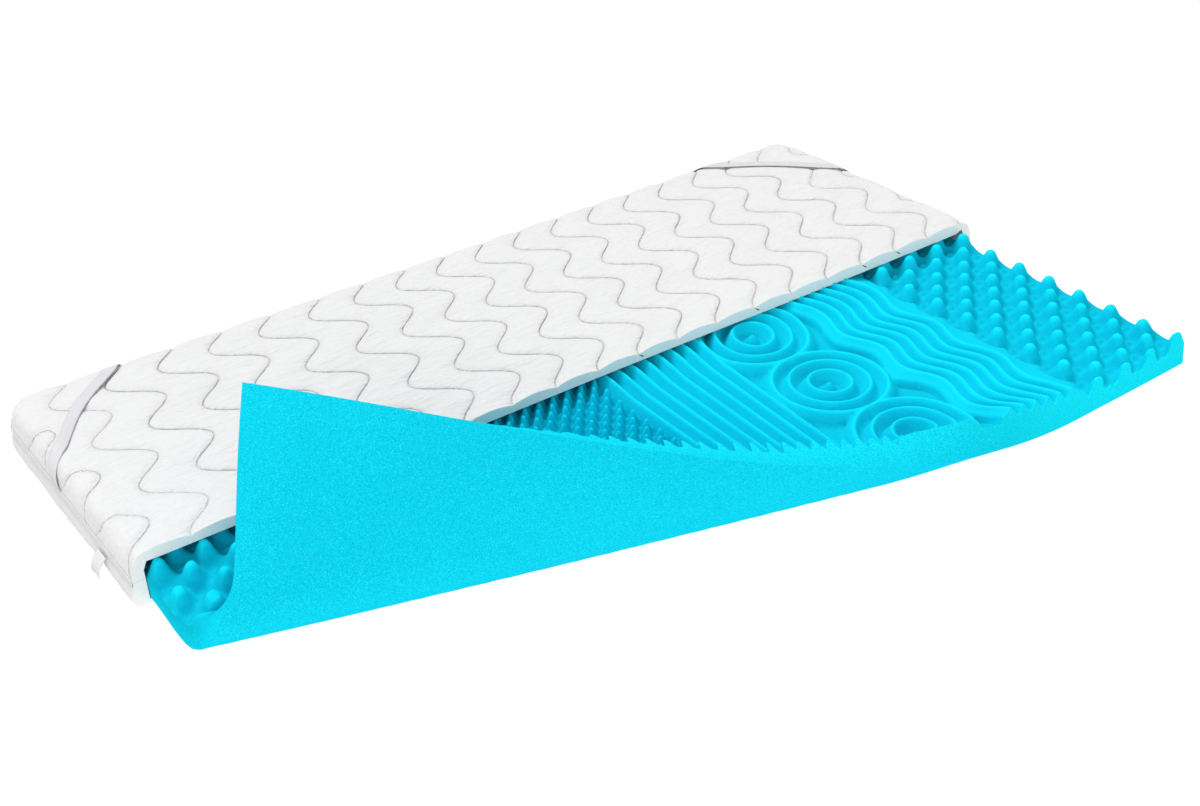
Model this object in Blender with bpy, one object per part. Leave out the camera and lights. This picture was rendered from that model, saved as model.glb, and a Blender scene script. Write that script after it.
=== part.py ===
"""A cut-away mattress topper: a profiled foam core, its front left corner curled back, in a quilted cover.

Sizes are in metres. While the pieces are made, X runs along the length from the cover's left end, Y runs from
the front edge of the core to the back and Z is up from the floor. The last step moves the origin to the
middle of the underside.
"""

import math

import bmesh
import bpy
from mathutils import Vector
from mathutils.geometry import delaunay_2d_cdt

# Overall sizes
LENGTH = 2.007  # outside of the cover, left end to right end
WIDTH = 1.222  # front edge of the core to the back of the cover
CUT_Y = 0.586  # where the cover is cut away
SEAM_Z = 0.050  # height of the tape that joins the two panels
GAP = 0.0004  # clearance between pieces that touch in use

# Core
CORE_LEFT = 0.028
CORE_RIGHT = 1.979
CORE_BACK = 1.193
CORE_CORNER = 0.050  # radius of its two back corners
RELIEF_BACK = 0.655  # the carved profile is made this far back, well under the cover
PLATEAU = 0.070  # height of the plain part under the cover
PLATEAU_EDGE = 0.058  # its outline is eased so that it clears the cover's rolled edge
EASE = 0.014
PEAK = 0.074
PEAK_SIDE = 0.0615
VALLEY = 0.036
RIDGE_TOP = 0.070
RIDGE_FOOT = 0.044
RING_TOP = 0.070
RING_FOOT = 0.044
DOT_TOP = 0.060
WAVE_TOP = 0.071
WAVE_FOOT = 0.047
PIN_TOP = 0.069
PIN_FOOT = 0.037

# Zones along the length, with the pitch of their pattern
RIGHT_PEAKS = {"first": 1.958, "columns": 7, "pitch": 0.0425, "row": 0.0405, "offset": 0.0}
LEFT_PEAKS = {"first": 0.050, "columns": 8, "pitch": 0.0405, "row": 0.0405, "offset": 0.0145}
PINS = {"first": 0.604, "columns": 22, "pitch": 0.0163, "row": 0.0204}
STRAIGHT = {"first": 0.968, "ridges": 8, "pitch": 0.0305}
LEFT_RIDGES = {"first": 0.388, "ridges": 6, "pitch": 0.0350}
WAVES = {"first": 1.462, "ridges": 6, "pitch": 0.0350, "period": 0.165, "swing": 0.013, "crest": 0.030}
CIRCLE_U = 1.306
CIRCLE_V = (0.092, 0.315, 0.538)
RING_TABLE = [  # radius, height, number of points
    (0.0130, RING_FOOT, 8),
    (0.0265, RING_FOOT, 12),
    (0.0420, RING_TOP, 18),
    (0.0600, RING_FOOT, 22),
    (0.0785, RING_TOP, 28),
    (0.0950, RING_FOOT, 32),
    (0.1110, RING_TOP, 36),
    (0.1270, RING_FOOT, 36),
]
FRONT_BOW = {"depth": 0.010, "middle": 1.74, "half": 0.20}  # the front edge swells a little here

# Curl of the front left corner. The fold starts on a line from the left edge to the front edge.
FOLD_V = 0.463  # where that line leaves the left edge
FOLD_ANGLE = 0.291  # radians between that line and the length
NEUTRAL = 0.020  # height in the foam that keeps its length in the bend
LAST_ALONG = 1.45
UNDER_REACH = (  # lines of points on the underside, past the fold line, where the foam bends
    -0.01, 0.008, 0.02, 0.032, 0.044, 0.056, 0.068, 0.081, 0.095, 0.112, 0.135, 0.175, 0.23, 0.29, 0.35,
)
SQUEEZE = {"shift": 0.0584, "fade": 0.452, "reach": 0.144, "back": -0.0078, "tail": 0.25}

# Cover
PANEL = 0.008  # bottom panel under the core
INSIDE_TOP = 0.0843  # inner face of the top panel
INSIDE_SIDE = 0.0262  # inner face of the sides, from the outside of the cover
THICK_SEAM = 0.0085
THICK_CROWN = 0.0205
THICK_HEM = 0.0230
CORNER = 0.050  # radius of the inner corners in plan
EDGE = 0.012  # radius of the inner top edge
ARC = EDGE * math.pi / 2
SIDE_DROP = INSIDE_TOP - EDGE - SEAM_Z - GAP / 2
REACH = CORNER - EDGE + ARC + SIDE_DROP  # cloth from the start of a corner to the tape

# Quilting: parallel wavy seams
SEAM_AT = [  # where each seam's centre line crosses the middle of the covered half
    -0.087, 0.019, 0.126, 0.234, 0.341, 0.448, 0.556, 0.668, 0.773, 0.874, 0.974,
    1.073, 1.173, 1.275, 1.377, 1.480, 1.583, 1.687, 1.790, 1.893, 1.996, 2.100,
]
SEAM_MIDDLE = 0.90
SEAM_LEAN = (-0.085, 0.030)  # lean at the left end and its change along the length
SEAM_SWING = 0.0375
SEAM_PERIOD = 0.1806
SEAM_PHASE = 0.8085
SEAM_ROWS = 27

# Tape, straps and label
TAPE_HALF = 0.006
TAPE_OUT = 0.0022
STRAP_HALF = 0.0125
STRAP_THICK = 0.0016
STRAP_LIFT = 0.0020
STRAP_ACROSS = 4
STRAP_STEPS = (  # stations along a strap, closer together where it rolls over an edge
    0.0, 0.02, 0.04, 0.065, 0.09, 0.12, 0.15, 0.19, 0.24, 0.35, 0.50,
    0.65, 0.76, 0.81, 0.85, 0.88, 0.91, 0.935, 0.96, 0.98, 1.0,
)
STRAPS = {  # the end it starts on, how far back there, how far along the back it finishes, and its bow
    "strap_back_left": ("left", 0.925, 0.245, 0.020),
    "strap_back_right": ("right", 0.950, 1.690, 0.018),
}
LABEL = {"y": 0.708, "width": 0.036, "drop": 0.040, "out": 0.014, "thick": 0.001}

COLOURS = {
    "core": (0.02, 0.55, 0.80, 1.0),
    "cover_top": (0.87, 0.86, 0.87, 1.0),
    "cover_bottom": (0.80, 0.80, 0.81, 1.0),
    "edge_tape": (0.84, 0.83, 0.84, 1.0),
    "strap_back_left": (0.90, 0.88, 0.90, 1.0),
    "strap_back_right": (0.90, 0.88, 0.90, 1.0),
    "label": (0.92, 0.92, 0.92, 1.0),
}


def clamp(x, low=0.0, high=1.0):
    return min(max(x, low), high)


def smooth(x):
    x = clamp(x)
    return x * x * (3.0 - 2.0 * x)


def clear_scene():
    for obj in list(bpy.data.objects):
        bpy.data.objects.remove(obj, do_unlink=True)


def material(name):
    mat = bpy.data.materials.new(name)
    mat.use_nodes = True
    shader = mat.node_tree.nodes["Principled BSDF"]
    shader.inputs["Base Color"].default_value = COLOURS[name]
    shader.inputs["Roughness"].default_value = 0.85
    return mat


def make_object(name, points, faces):
    """One closed body with its normals facing out."""
    mesh = bpy.data.meshes.new(name)
    mesh.from_pydata([tuple(p) for p in points], [], faces)
    work = bmesh.new()
    work.from_mesh(mesh)
    bmesh.ops.triangulate(work, faces=list(work.faces), quad_method="SHORT_EDGE", ngon_method="EAR_CLIP")
    bmesh.ops.recalc_face_normals(work, faces=list(work.faces))
    if work.calc_volume(signed=True) < 0:
        bmesh.ops.reverse_faces(work, faces=list(work.faces))
    work.to_mesh(mesh)
    work.free()
    obj = bpy.data.objects.new(name, mesh)
    bpy.context.collection.objects.link(obj)
    mesh.materials.append(material(name))
    return obj


class Sheet:
    """Points of a flat pattern, each with a height, joined up as triangles."""

    def __init__(self, spacing):
        self.spacing = spacing
        self.points = []
        self.values = []
        self.edges = []
        self.cells = {}

    def near(self, a, b, spacing):
        size = self.spacing * 2.0
        i, j = int(math.floor(a / size)), int(math.floor(b / size))
        for di in (-1, 0, 1):
            for dj in (-1, 0, 1):
                for k in self.cells.get((i + di, j + dj), ()):
                    p = self.points[k]
                    if (p[0] - a) ** 2 + (p[1] - b) ** 2 < spacing * spacing:
                        return k
        return None

    def add(self, a, b, value, spacing=None):
        if self.near(a, b, self.spacing if spacing is None else spacing) is not None:
            return None
        size = self.spacing * 2.0
        key = (int(math.floor(a / size)), int(math.floor(b / size)))
        self.points.append((a, b))
        self.values.append(value)
        self.cells.setdefault(key, []).append(len(self.points) - 1)
        return len(self.points) - 1

    def line(self, samples, closed=False, spacing=None):
        """Adds the samples in order and keeps the edges between neighbours."""
        found = [self.add(a, b, value, spacing) for a, b, value in samples]
        pairs = list(zip(found, found[1:]))
        if closed:
            pairs.append((found[-1], found[0]))
        self.edges += [(i, j) for i, j in pairs if i is not None and j is not None]

    def triangles(self):
        """Triangles as index triples, counter-clockwise in the pattern."""
        flat = [Vector(p) for p in self.points]
        out = delaunay_2d_cdt(flat, self.edges, [], 0, 1e-6, True)
        where, values = [], []
        for k, point in enumerate(out[0]):
            source = out[3][k]
            where.append((point[0], point[1]))
            values.append(self.values[source[0]] if source else None)
        faces = [tuple(f) for f in out[2]]
        fill_missing(values, faces)
        self.points, self.values = where, values
        return [f if turns_left(where, f) else f[::-1] for f in faces if area(where, f) > 1e-9]


def fill_missing(values, faces):
    """A point made where two kept edges cross takes the mean height of its neighbours."""
    for k, value in enumerate(values):
        if value is None:
            near = [values[i] for f in faces if k in f for i in f if values[i] is not None]
            values[k] = sum(near) / len(near)


def area(points, face):
    (ax, ay), (bx, by), (cx, cy) = (points[i] for i in face)
    return abs((bx - ax) * (cy - ay) - (by - ay) * (cx - ax)) / 2


def turns_left(points, face):
    (ax, ay), (bx, by), (cx, cy) = (points[i] for i in face)
    return (bx - ax) * (cy - ay) - (by - ay) * (cx - ax) > 0


def boundary_loop(faces):
    """The outline of a triangle set as one ordered loop."""
    used = set()
    for f in faces:
        for i in range(3):
            used.add((f[i], f[(i + 1) % 3]))
    following = {a: b for a, b in used if (b, a) not in used}
    start = min(following)
    loop = [start]
    while following[loop[-1]] != start:
        loop.append(following[loop[-1]])
    return loop


# ---------------------------------------------------------------- the curl


def roll(along, reach):
    """Bend across the fold: how far ahead, how high and how far turned the foam is after this reach."""
    along = clamp(along, -0.1, LAST_ALONG)
    radius = fold_radius(along)
    end = fold_turn(along) * radius
    after = 0.309 + 3.715 * along
    steps = max(4, int(reach / 0.004))
    ds = reach / steps
    ahead = rise = turn = 0.0
    for k in range(steps):
        s = (k + 0.5) * ds
        inside = 1.0 / (1.0 + math.exp((s - end - 0.015) / 0.012))
        bend = inside * clamp(s / 0.03) / radius + after * (1.0 - inside)
        middle = turn + 0.5 * bend * ds
        ahead += math.cos(middle) * ds
        rise += math.sin(middle) * ds
        turn += bend * ds
    return ahead, rise, turn


def fold_radius(along):
    return 0.035 + 0.0622 * along - 0.0446 * along * along


def fold_turn(along):
    return 2.294 - 1.668 * along + 0.4516 * along * along


def fold_place(u, v):
    """Position along the fold line and reach past it (negative on the flat side)."""
    du, dv = u - CORE_LEFT, v - FOLD_V
    along = du * math.cos(FOLD_ANGLE) - dv * math.sin(FOLD_ANGLE)
    reach = -du * math.sin(FOLD_ANGLE) - dv * math.cos(FOLD_ANGLE)
    return along, reach


def room(u, v):
    """Height the inside of the fold leaves for the foam, so that its peaks squash instead of crossing."""
    along, reach = fold_place(u, v)
    along = clamp(along, -0.1, LAST_ALONG)
    radius, turn = fold_radius(along), fold_turn(along)
    if turn < 0.5:
        return 1.0
    outside = max(-reach, reach - turn * radius - 0.02, 0.0)
    return NEUTRAL + 0.72 * radius + 0.85 * math.tan((math.pi - turn) / 2) * outside


def place_core(u, v, h):
    """From the flat pattern to the foam as it lies."""
    along, reach = fold_place(u, v)
    h = min(h, room(u, v)) if h > NEUTRAL else h
    if reach <= 0.0:
        lift = (PANEL + GAP) * smooth((v - 0.485) / 0.085)
        bow = FRONT_BOW["depth"] * math.exp(-(((u - FRONT_BOW["middle"]) / FRONT_BOW["half"]) ** 2))
        return Vector((u, v - bow * clamp(1.0 - v / 0.25), h + lift))
    ahead, rise, turn = roll(along, reach)
    off = h - NEUTRAL
    step = ahead - math.sin(turn) * off
    shift = SQUEEZE["shift"] * smooth(reach / SQUEEZE["reach"])
    shift += SQUEEZE["back"] * smooth((reach - SQUEEZE["reach"]) / SQUEEZE["tail"])
    slide = along + shift * math.exp(-max(along, 0.0) / SQUEEZE["fade"])
    x = CORE_LEFT + slide * math.cos(FOLD_ANGLE) - step * math.sin(FOLD_ANGLE)
    y = FOLD_V - slide * math.sin(FOLD_ANGLE) - step * math.cos(FOLD_ANGLE)
    return Vector((x, y, rise + math.cos(turn) * off + NEUTRAL))


# ---------------------------------------------------------------- the core


def core_edge_height(u, v):
    """Height of the core's outline where no feature meets it."""
    return PLATEAU_EDGE if v > RELIEF_BACK + 0.008 else VALLEY


def fold_rows(u, fine, coarse):
    """Sample positions across the width, closer together where the foam bends."""
    start = FOLD_V - math.tan(FOLD_ANGLE) * (u - CORE_LEFT)
    rows, v = [], 0.0
    while v < RELIEF_BACK - 0.3 * coarse:
        rows.append(v)
        v += fine if start - 0.15 < v < start + 0.01 else coarse
    return rows + [RELIEF_BACK]


def add_peaks(sheet, zone, direction):
    rows = int(RELIEF_BACK / zone["row"]) + 1
    for i in range(zone["columns"]):
        for j in range(rows):
            u = zone["first"] + direction * i * zone["pitch"]
            v = zone["offset"] + j * zone["row"]
            if v > RELIEF_BACK - 0.012:
                continue
            if (i + j) % 2:
                sheet.add(u, v, VALLEY, 0.006)
                continue
            sheet.add(u, v, PEAK, 0.006)
            for k in range(6):
                a = math.pi * k / 3
                pu, pv = u + 0.0115 * math.cos(a), v + 0.0115 * math.sin(a)
                if -1e-9 <= pv < RELIEF_BACK - 0.004 and pu > CORE_LEFT + 0.004:
                    sheet.add(pu, max(pv, 0.0), PEAK_SIDE, 0.004)


def add_pins(sheet):
    for i in range(PINS["columns"]):
        for j in range(int(RELIEF_BACK / PINS["row"]) + 1):
            v = j * PINS["row"]
            if v < RELIEF_BACK - 0.008:
                high = PIN_TOP if (i + j) % 2 == 0 else PIN_FOOT
                sheet.add(PINS["first"] + i * PINS["pitch"], v, high, 0.006)


def add_ridges(sheet, zone, last_foot=True):
    for k in range(2 * zone["ridges"] + last_foot):
        u = zone["first"] + (k - 1) * zone["pitch"] / 2
        high = RIDGE_TOP if k % 2 else RIDGE_FOOT
        sheet.line([(u, v, high) for v in fold_rows(u, 0.018, 0.045)], spacing=0.004)


def wave_swing(v):
    return WAVES["swing"] * math.cos(2 * math.pi * (v - WAVES["crest"]) / WAVES["period"])


def add_waves(sheet):
    count = 28
    for k in range(2 * WAVES["ridges"] + 1):
        middle = WAVES["first"] + (k - 1) * WAVES["pitch"] / 2
        high = WAVE_TOP if k % 2 else WAVE_FOOT
        rows = [RELIEF_BACK * j / count for j in range(count + 1)]
        sheet.line([(middle + wave_swing(v), v, high) for v in rows], spacing=0.004)


def add_circles(sheet):
    for r, high, count in sorted(RING_TABLE, key=lambda row: (row[1] != RING_TOP, row[0])):
        for middle in CIRCLE_V:
            ring = []
            for k in range(count):
                a = 2 * math.pi * (k + 0.5) / count
                u, v = CIRCLE_U + r * math.cos(a), middle + r * math.sin(a)
                ring.append((u, v, high))
            add_ring(sheet, ring, r, middle)
    for middle in CIRCLE_V:
        sheet.add(CIRCLE_U, middle, DOT_TOP, 0.004)


def add_ring(sheet, ring, r, middle):
    """Adds the part of a ring that lies on the carved foam and outside the neighbouring circles."""
    others = [m for m in CIRCLE_V if m != middle]
    kept = []
    for u, v, high in ring + ring[:1]:
        clear = all(math.hypot(u - CIRCLE_U, v - m) > min(r, 0.1135) for m in others)
        if 0.0 < v < RELIEF_BACK - 0.004 and clear and (r < 0.12 or 1.2120 < u < 1.418):
            kept.append((u, max(v, 0.0), high))
        else:
            sheet.line(kept, spacing=0.006)
            kept = []
    sheet.line(kept, spacing=0.006)


def add_front_of_circles(sheet):
    """The front face cuts the nearest outer ring almost along its crest."""
    half = math.sqrt(RING_TABLE[6][0] ** 2 - CIRCLE_V[0] ** 2)
    row = [(-0.016, RING_FOOT), (0.0, RING_TOP), (0.016, RING_FOOT + 0.008)]
    for step, high in row:
        sheet.add(CIRCLE_U - half - 0.004 + step, 0.0, high, 0.004)
        sheet.add(CIRCLE_U + half + 0.004 - step, 0.0, high, 0.004)
    sheet.add(CIRCLE_U, 0.0, RING_FOOT + 0.004, 0.004)


def outline_rows():
    """Sample positions up the left and right edges."""
    rows, v = [], 0.0
    while v < RELIEF_BACK - 0.02:
        rows.append(v)
        v += 0.0115 if 0.30 < v < 0.48 else 0.0405
    return rows + [RELIEF_BACK, RELIEF_BACK + 0.010] + [0.72 + 0.118 * k for k in range(5)]


def core_pattern():
    sheet = Sheet(0.008)
    for u, inward in ((CORE_LEFT, 1.0), (CORE_RIGHT, -1.0)):
        rows = [v for v in outline_rows() if v < CORE_BACK - CORE_CORNER - 0.01]
        sheet.line([(u, v, core_edge_height(u, v)) for v in rows], spacing=0.002)
        for k in range(5):
            a = math.pi / 2 * k / 4
            pu = u + inward * CORE_CORNER * (1.0 - math.cos(a))
            sheet.add(pu, CORE_BACK - CORE_CORNER * (1.0 - math.sin(a)), PLATEAU_EDGE, 0.002)
        inner, small = u + inward * EASE, CORE_CORNER - EASE
        for v in [r for r in rows if r > RELIEF_BACK]:
            sheet.add(inner, v, PLATEAU, 0.002)
        for k in range(4):
            a = math.pi / 2 * k / 3
            pu = inner + inward * small * (1.0 - math.cos(a))
            sheet.add(pu, CORE_BACK - EASE - small * (1.0 - math.sin(a)), PLATEAU, 0.002)
    add_peaks(sheet, RIGHT_PEAKS, -1)
    add_peaks(sheet, LEFT_PEAKS, 1)
    add_pins(sheet)
    add_ridges(sheet, STRAIGHT, last_foot=False)
    add_ridges(sheet, LEFT_RIDGES)
    add_waves(sheet)
    add_circles(sheet)
    add_front_of_circles(sheet)
    for j in range(28):
        v = RELIEF_BACK * j / 28
        swing = math.sin(math.pi * (v - CIRCLE_V[0]) / (CIRCLE_V[1] - CIRCLE_V[0])) ** 2
        sheet.add(1.1882 + 0.009 * swing, v, RING_FOOT, 0.0055)
    for u in (0.352, 0.368, 0.590, 1.427, 1.662, 1.680):
        sheet.line([(u, v, VALLEY + 0.004) for v in fold_rows(u, 0.020, 0.041)], spacing=0.009)
    count = 40
    for k in range(1, count):
        u = CORE_LEFT + (CORE_RIGHT - CORE_LEFT) * k / count
        sheet.add(u, 0.0, VALLEY, 0.012)
        sheet.add(u, RELIEF_BACK, VALLEY, 0.012)
        sheet.add(u, RELIEF_BACK + 0.010, PLATEAU, 0.002)
        if k % 4 == 2:
            sheet.add(u, CORE_BACK, PLATEAU_EDGE, 0.002)
            sheet.add(u, CORE_BACK - EASE, PLATEAU, 0.002)
    return sheet


def add_underside_rows(sheet, loop_points):
    """Points under the foam along the fold, where the sheet bends, and a few elsewhere."""
    for reach in UNDER_REACH:
        for k in range(30):
            along = -0.05 + 0.055 * k
            u = CORE_LEFT + along * math.cos(FOLD_ANGLE) - reach * math.sin(FOLD_ANGLE)
            v = FOLD_V - along * math.sin(FOLD_ANGLE) - reach * math.cos(FOLD_ANGLE)
            inside = CORE_LEFT + 0.008 < u < CORE_RIGHT - 0.02 and 0.008 < v < CORE_BACK - 0.02
            if inside and all(abs(u - p[0]) + abs(v - p[1]) > 0.008 for p in loop_points):
                sheet.add(u, v, 0.0, 0.006)
    for v in (0.484, 0.505, 0.528, 0.551, 0.571):
        for k in range(1, 14):
            u = CORE_LEFT + (CORE_RIGHT - CORE_LEFT) * k / 14
            if fold_place(u, v)[1] < -0.015:
                sheet.add(u, v, 0.0, 0.012)


def build_core():
    sheet = core_pattern()
    top_faces = sheet.triangles()
    loop = boundary_loop(top_faces)
    points = [place_core(u, v, h) for (u, v), h in zip(sheet.points, sheet.values)]
    under = Sheet(0.008)
    for i in loop:
        under.add(*sheet.points[i], 0.0, 0.0)
    count = len(loop)
    under.edges = [(k, (k + 1) % count) for k in range(count)]
    add_underside_rows(under, [sheet.points[i] for i in loop])
    under_faces = under.triangles()
    base = len(points)
    points += [place_core(u, v, 0.0) for u, v in under.points]
    lower = boundary_loop(under_faces)
    match = {tuple(round(x, 5) for x in under.points[i]): i for i in lower}
    faces = list(top_faces) + [tuple(base + i for i in f[::-1]) for f in under_faces]
    for k in range(count):
        a, b = loop[k], loop[(k + 1) % count]
        la = base + match[tuple(round(x, 5) for x in sheet.points[a])]
        lb = base + match[tuple(round(x, 5) for x in sheet.points[b])]
        faces += [(a, la, lb), (a, lb, b)]
    return make_object("core", points, faces)


# ---------------------------------------------------------------- the cover


def seam_centre(k, b):
    """Where seam k runs at this place across the width."""
    lean = SEAM_LEAN[0] + SEAM_LEAN[1] * SEAM_AT[k]
    wave = SEAM_SWING * math.sin(2 * math.pi * (b - SEAM_PHASE) / SEAM_PERIOD)
    return SEAM_AT[k] + lean * (b - SEAM_MIDDLE) + wave


def guide(a, b, off):
    """Cloth position to space, on the inner face of the top panel or this far outside it."""
    left, right = INSIDE_SIDE + CORNER, LENGTH - INSIDE_SIDE - CORNER
    back = WIDTH - INSIDE_SIDE - CORNER
    fx, fy = clamp(a, left, right), min(b, back)
    ox, oy = a - fx, b - fy
    size = math.hypot(ox, oy)
    if size < 1e-9:
        return Vector((a, b, INSIDE_TOP + off))
    reach = max(abs(ox), abs(oy))
    dx, dy = ox / size, oy / size
    out, up, drop = side_section(reach, off)
    return Vector((fx + dx * out, fy + dy * out, INSIDE_TOP + up - drop))


def side_section(reach, off):
    """Section over an edge: distance out, rise from the thickness and drop, for this much cloth."""
    flat = CORNER - EDGE
    if reach <= flat:
        return reach, off, 0.0
    if reach <= flat + ARC:
        turn = (reach - flat) / EDGE
        out = flat + EDGE * math.sin(turn) + off * math.sin(turn)
        return out, off * math.cos(turn), EDGE * (1.0 - math.cos(turn))
    return CORNER + off, 0.0, EDGE + (reach - flat - ARC)


def edge_reach(a, b):
    """How far down a side this cloth is, from 0 at the start of a corner to REACH at the tape."""
    left, right = INSIDE_SIDE + CORNER, LENGTH - INSIDE_SIDE - CORNER
    back = WIDTH - INSIDE_SIDE - CORNER
    return max(left - a, a - right, b - back, 0.0)


def thickness(a, b):
    """Padding between the faces of the top panel: thin at the seams, full between them."""
    span = 1.0
    for k in range(len(SEAM_AT) - 1):
        low, high = seam_centre(k, b), seam_centre(k + 1, b)
        if low <= a <= high:
            part = (a - low) / (high - low)
            span = min(part, 1.0 - part) * 2.0
            break
    crown = math.sin(clamp(span) * math.pi / 2) ** 0.75
    padded = THICK_SEAM + (THICK_CROWN - THICK_SEAM) * crown
    hem = smooth((edge_reach(a, b) - (REACH - 0.030)) / 0.022)
    return padded + (THICK_HEM - padded) * hem


def cover_limits():
    left, right = INSIDE_SIDE + CORNER, LENGTH - INSIDE_SIDE - CORNER
    back = WIDTH - INSIDE_SIDE - CORNER
    return left - REACH, right + REACH, back + REACH


def side_steps():
    """Cloth reach of the lines that shape the rolled-over sides, from the tape inwards."""
    flat = CORNER - EDGE
    return [REACH, REACH - 0.010, flat + ARC, flat + ARC * 0.5, flat]


def rolled_line(reach, side_count, back_count):
    """A line of cloth at one reach down the sides: left end, back corner, back, back corner, right end."""
    left, right = INSIDE_SIDE + CORNER, LENGTH - INSIDE_SIDE - CORNER
    back = WIDTH - INSIDE_SIDE - CORNER
    side = [(-reach, CUT_Y + (back - CUT_Y) * j / side_count) for j in range(side_count)]
    side += [(-reach, back + reach * math.tan(math.radians(15 * j))) for j in range(4)]
    side += [(-reach * math.tan(math.radians(15 * j)), back + reach) for j in (2, 1, 0)]
    line = [(left + a, b, 0.0) for a, b in side]
    line += [(left + (right - left) * i / back_count, back + reach, 0.0) for i in range(1, back_count)]
    return line + [(right - a, b, 0.0) for a, b in reversed(side)]


def cover_pattern():
    low_a, high_a, high_b = cover_limits()
    sheet = Sheet(0.010)
    rows = [CUT_Y + (high_b - CUT_Y) * j / SEAM_ROWS for j in range(SEAM_ROWS + 1)]
    for reach in side_steps():
        sheet.line(rolled_line(reach, 20, 60), spacing=0.001)
    for k in range(len(SEAM_AT)):
        line = [(seam_centre(k, b), b, 0.0) for b in rows if b < high_b - 0.03]
        sheet.line([p for p in line if low_a + 0.03 < p[0] < high_a - 0.03], spacing=0.005)
    for k in range(len(SEAM_AT) - 1):
        for part in (0.27, 0.73):
            for b in rows:
                a = seam_centre(k, b) * (1 - part) + seam_centre(k + 1, b) * part
                if low_a + 0.032 < a < high_a - 0.032 and b < high_b - 0.032:
                    sheet.add(a, b, 0.0, 0.009)
    return sheet


def build_cover_top():
    sheet = cover_pattern()
    faces = sheet.triangles()
    loop = boundary_loop(faces)
    outer = [guide(a, b, thickness(a, b)) for a, b in sheet.points]
    inside = Sheet(0.010)
    for i in loop:
        inside.add(*sheet.points[i], 0.0, 0.0)
    count = len(loop)
    inside.edges = [(k, (k + 1) % count) for k in range(count)]
    for reach in side_steps()[2:]:
        line = rolled_line(reach, 4, 12)
        inside.line(line[1:-1], spacing=0.001)
        for end in (line[0], line[-1]):
            corner = inside.near(end[0], end[1], 0.002)
            side = inside.near(*(line[1] if end is line[0] else line[-2])[:2], 0.002)
            inside.edges.append((corner, side))
    inner_faces = inside.triangles()
    points = outer + [guide(a, b, 0.0) for a, b in inside.points]
    base = len(outer)
    match = {tuple(round(x, 5) for x in inside.points[i]): i for i in boundary_loop(inner_faces)}
    solid = list(faces) + [tuple(base + i for i in f[::-1]) for f in inner_faces]
    for k in range(count):
        a, b = loop[k], loop[(k + 1) % count]
        la = base + match[tuple(round(x, 5) for x in sheet.points[a])]
        lb = base + match[tuple(round(x, 5) for x in sheet.points[b])]
        solid += [(a, la, lb), (a, lb, b)]
    return make_object("cover_top", points, solid)


def perimeter(start_y, radius_at):
    """Stations round the kept half: centre of the fan and outward direction, left cut to right cut."""
    left, right = INSIDE_SIDE + radius_at, LENGTH - INSIDE_SIDE - radius_at
    back = WIDTH - INSIDE_SIDE - radius_at
    stations = [(left, start_y + (back - start_y) * j / 3, 180.0) for j in range(3)]
    stations += [(left, back, 180.0 - 90.0 * j / 6) for j in range(7)]
    stations += [(left + (right - left) * i / 6, back, 90.0) for i in range(1, 6)]
    stations += [(right, back, 90.0 - 90.0 * j / 6) for j in range(7)]
    stations += [(right, back - (back - start_y) * j / 3, 0.0) for j in range(1, 4)]
    return [(x, y, math.cos(math.radians(d)), math.sin(math.radians(d))) for x, y, d in stations]


def sweep(stations, section):
    """Rings of points: the section is (distance out, height) pairs, closed."""
    points = []
    for x, y, dx, dy in stations:
        points += [Vector((x + dx * out, y + dy * out, z)) for out, z in section]
    return points


def ring_faces(stations, size, closed=True):
    faces = []
    for k in range(len(stations) - 1):
        for i in range(size if closed else size - 1):
            j = (i + 1) % size
            a, b = k * size, (k + 1) * size
            faces.append((a + i, a + j, b + j, b + i))
    return faces


def bottom_section():
    """Outside of the bottom panel from the flat underside up to the tape, then down the inside."""
    outside = CORNER + THICK_HEM
    outer, turns = [], 6
    for k in range(turns + 1):
        a = math.pi / 2 * k / turns
        outer.append((outside - 0.036 + 0.036 * math.sin(a), 0.036 * (1.0 - math.cos(a))))
    outer.append((outside, SEAM_Z - GAP / 2))
    inner = [(CORNER, SEAM_Z - GAP / 2), (CORNER, PANEL)]
    return outer, inner


def build_cover_bottom():
    stations = perimeter(CUT_Y, CORNER)
    outer, inner = bottom_section()
    section = outer + inner
    size, count = len(section), len(stations)
    points = sweep(stations, section)
    faces = []
    for k in range(count - 1):
        a, b = k * size, (k + 1) * size
        for i in range(size - 1):
            faces.append((a + i, a + i + 1, b + i + 1, b + i))
    faces.append(tuple(k * size for k in range(count)))
    faces.append(tuple(k * size + size - 1 for k in reversed(range(count))))
    last = (count - 1) * size
    faces.append(tuple(range(size)) + tuple(last + i for i in reversed(range(size))))
    return make_object("cover_bottom", points, faces)


def build_tape():
    inner = CORNER + THICK_HEM + GAP
    section = [
        (inner, SEAM_Z - TAPE_HALF),
        (inner + TAPE_OUT * 0.7, SEAM_Z - TAPE_HALF),
        (inner + TAPE_OUT, SEAM_Z - TAPE_HALF * 0.5),
        (inner + TAPE_OUT, SEAM_Z + TAPE_HALF * 0.5),
        (inner + TAPE_OUT * 0.7, SEAM_Z + TAPE_HALF),
        (inner, SEAM_Z + TAPE_HALF),
    ]
    stations = perimeter(CUT_Y, CORNER)
    size, last = len(section), (len(stations) - 1) * len(section)
    faces = ring_faces(stations, size)
    faces += [tuple(range(size)), tuple(last + i for i in reversed(range(size)))]
    return make_object("edge_tape", sweep(stations, section), faces)


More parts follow.
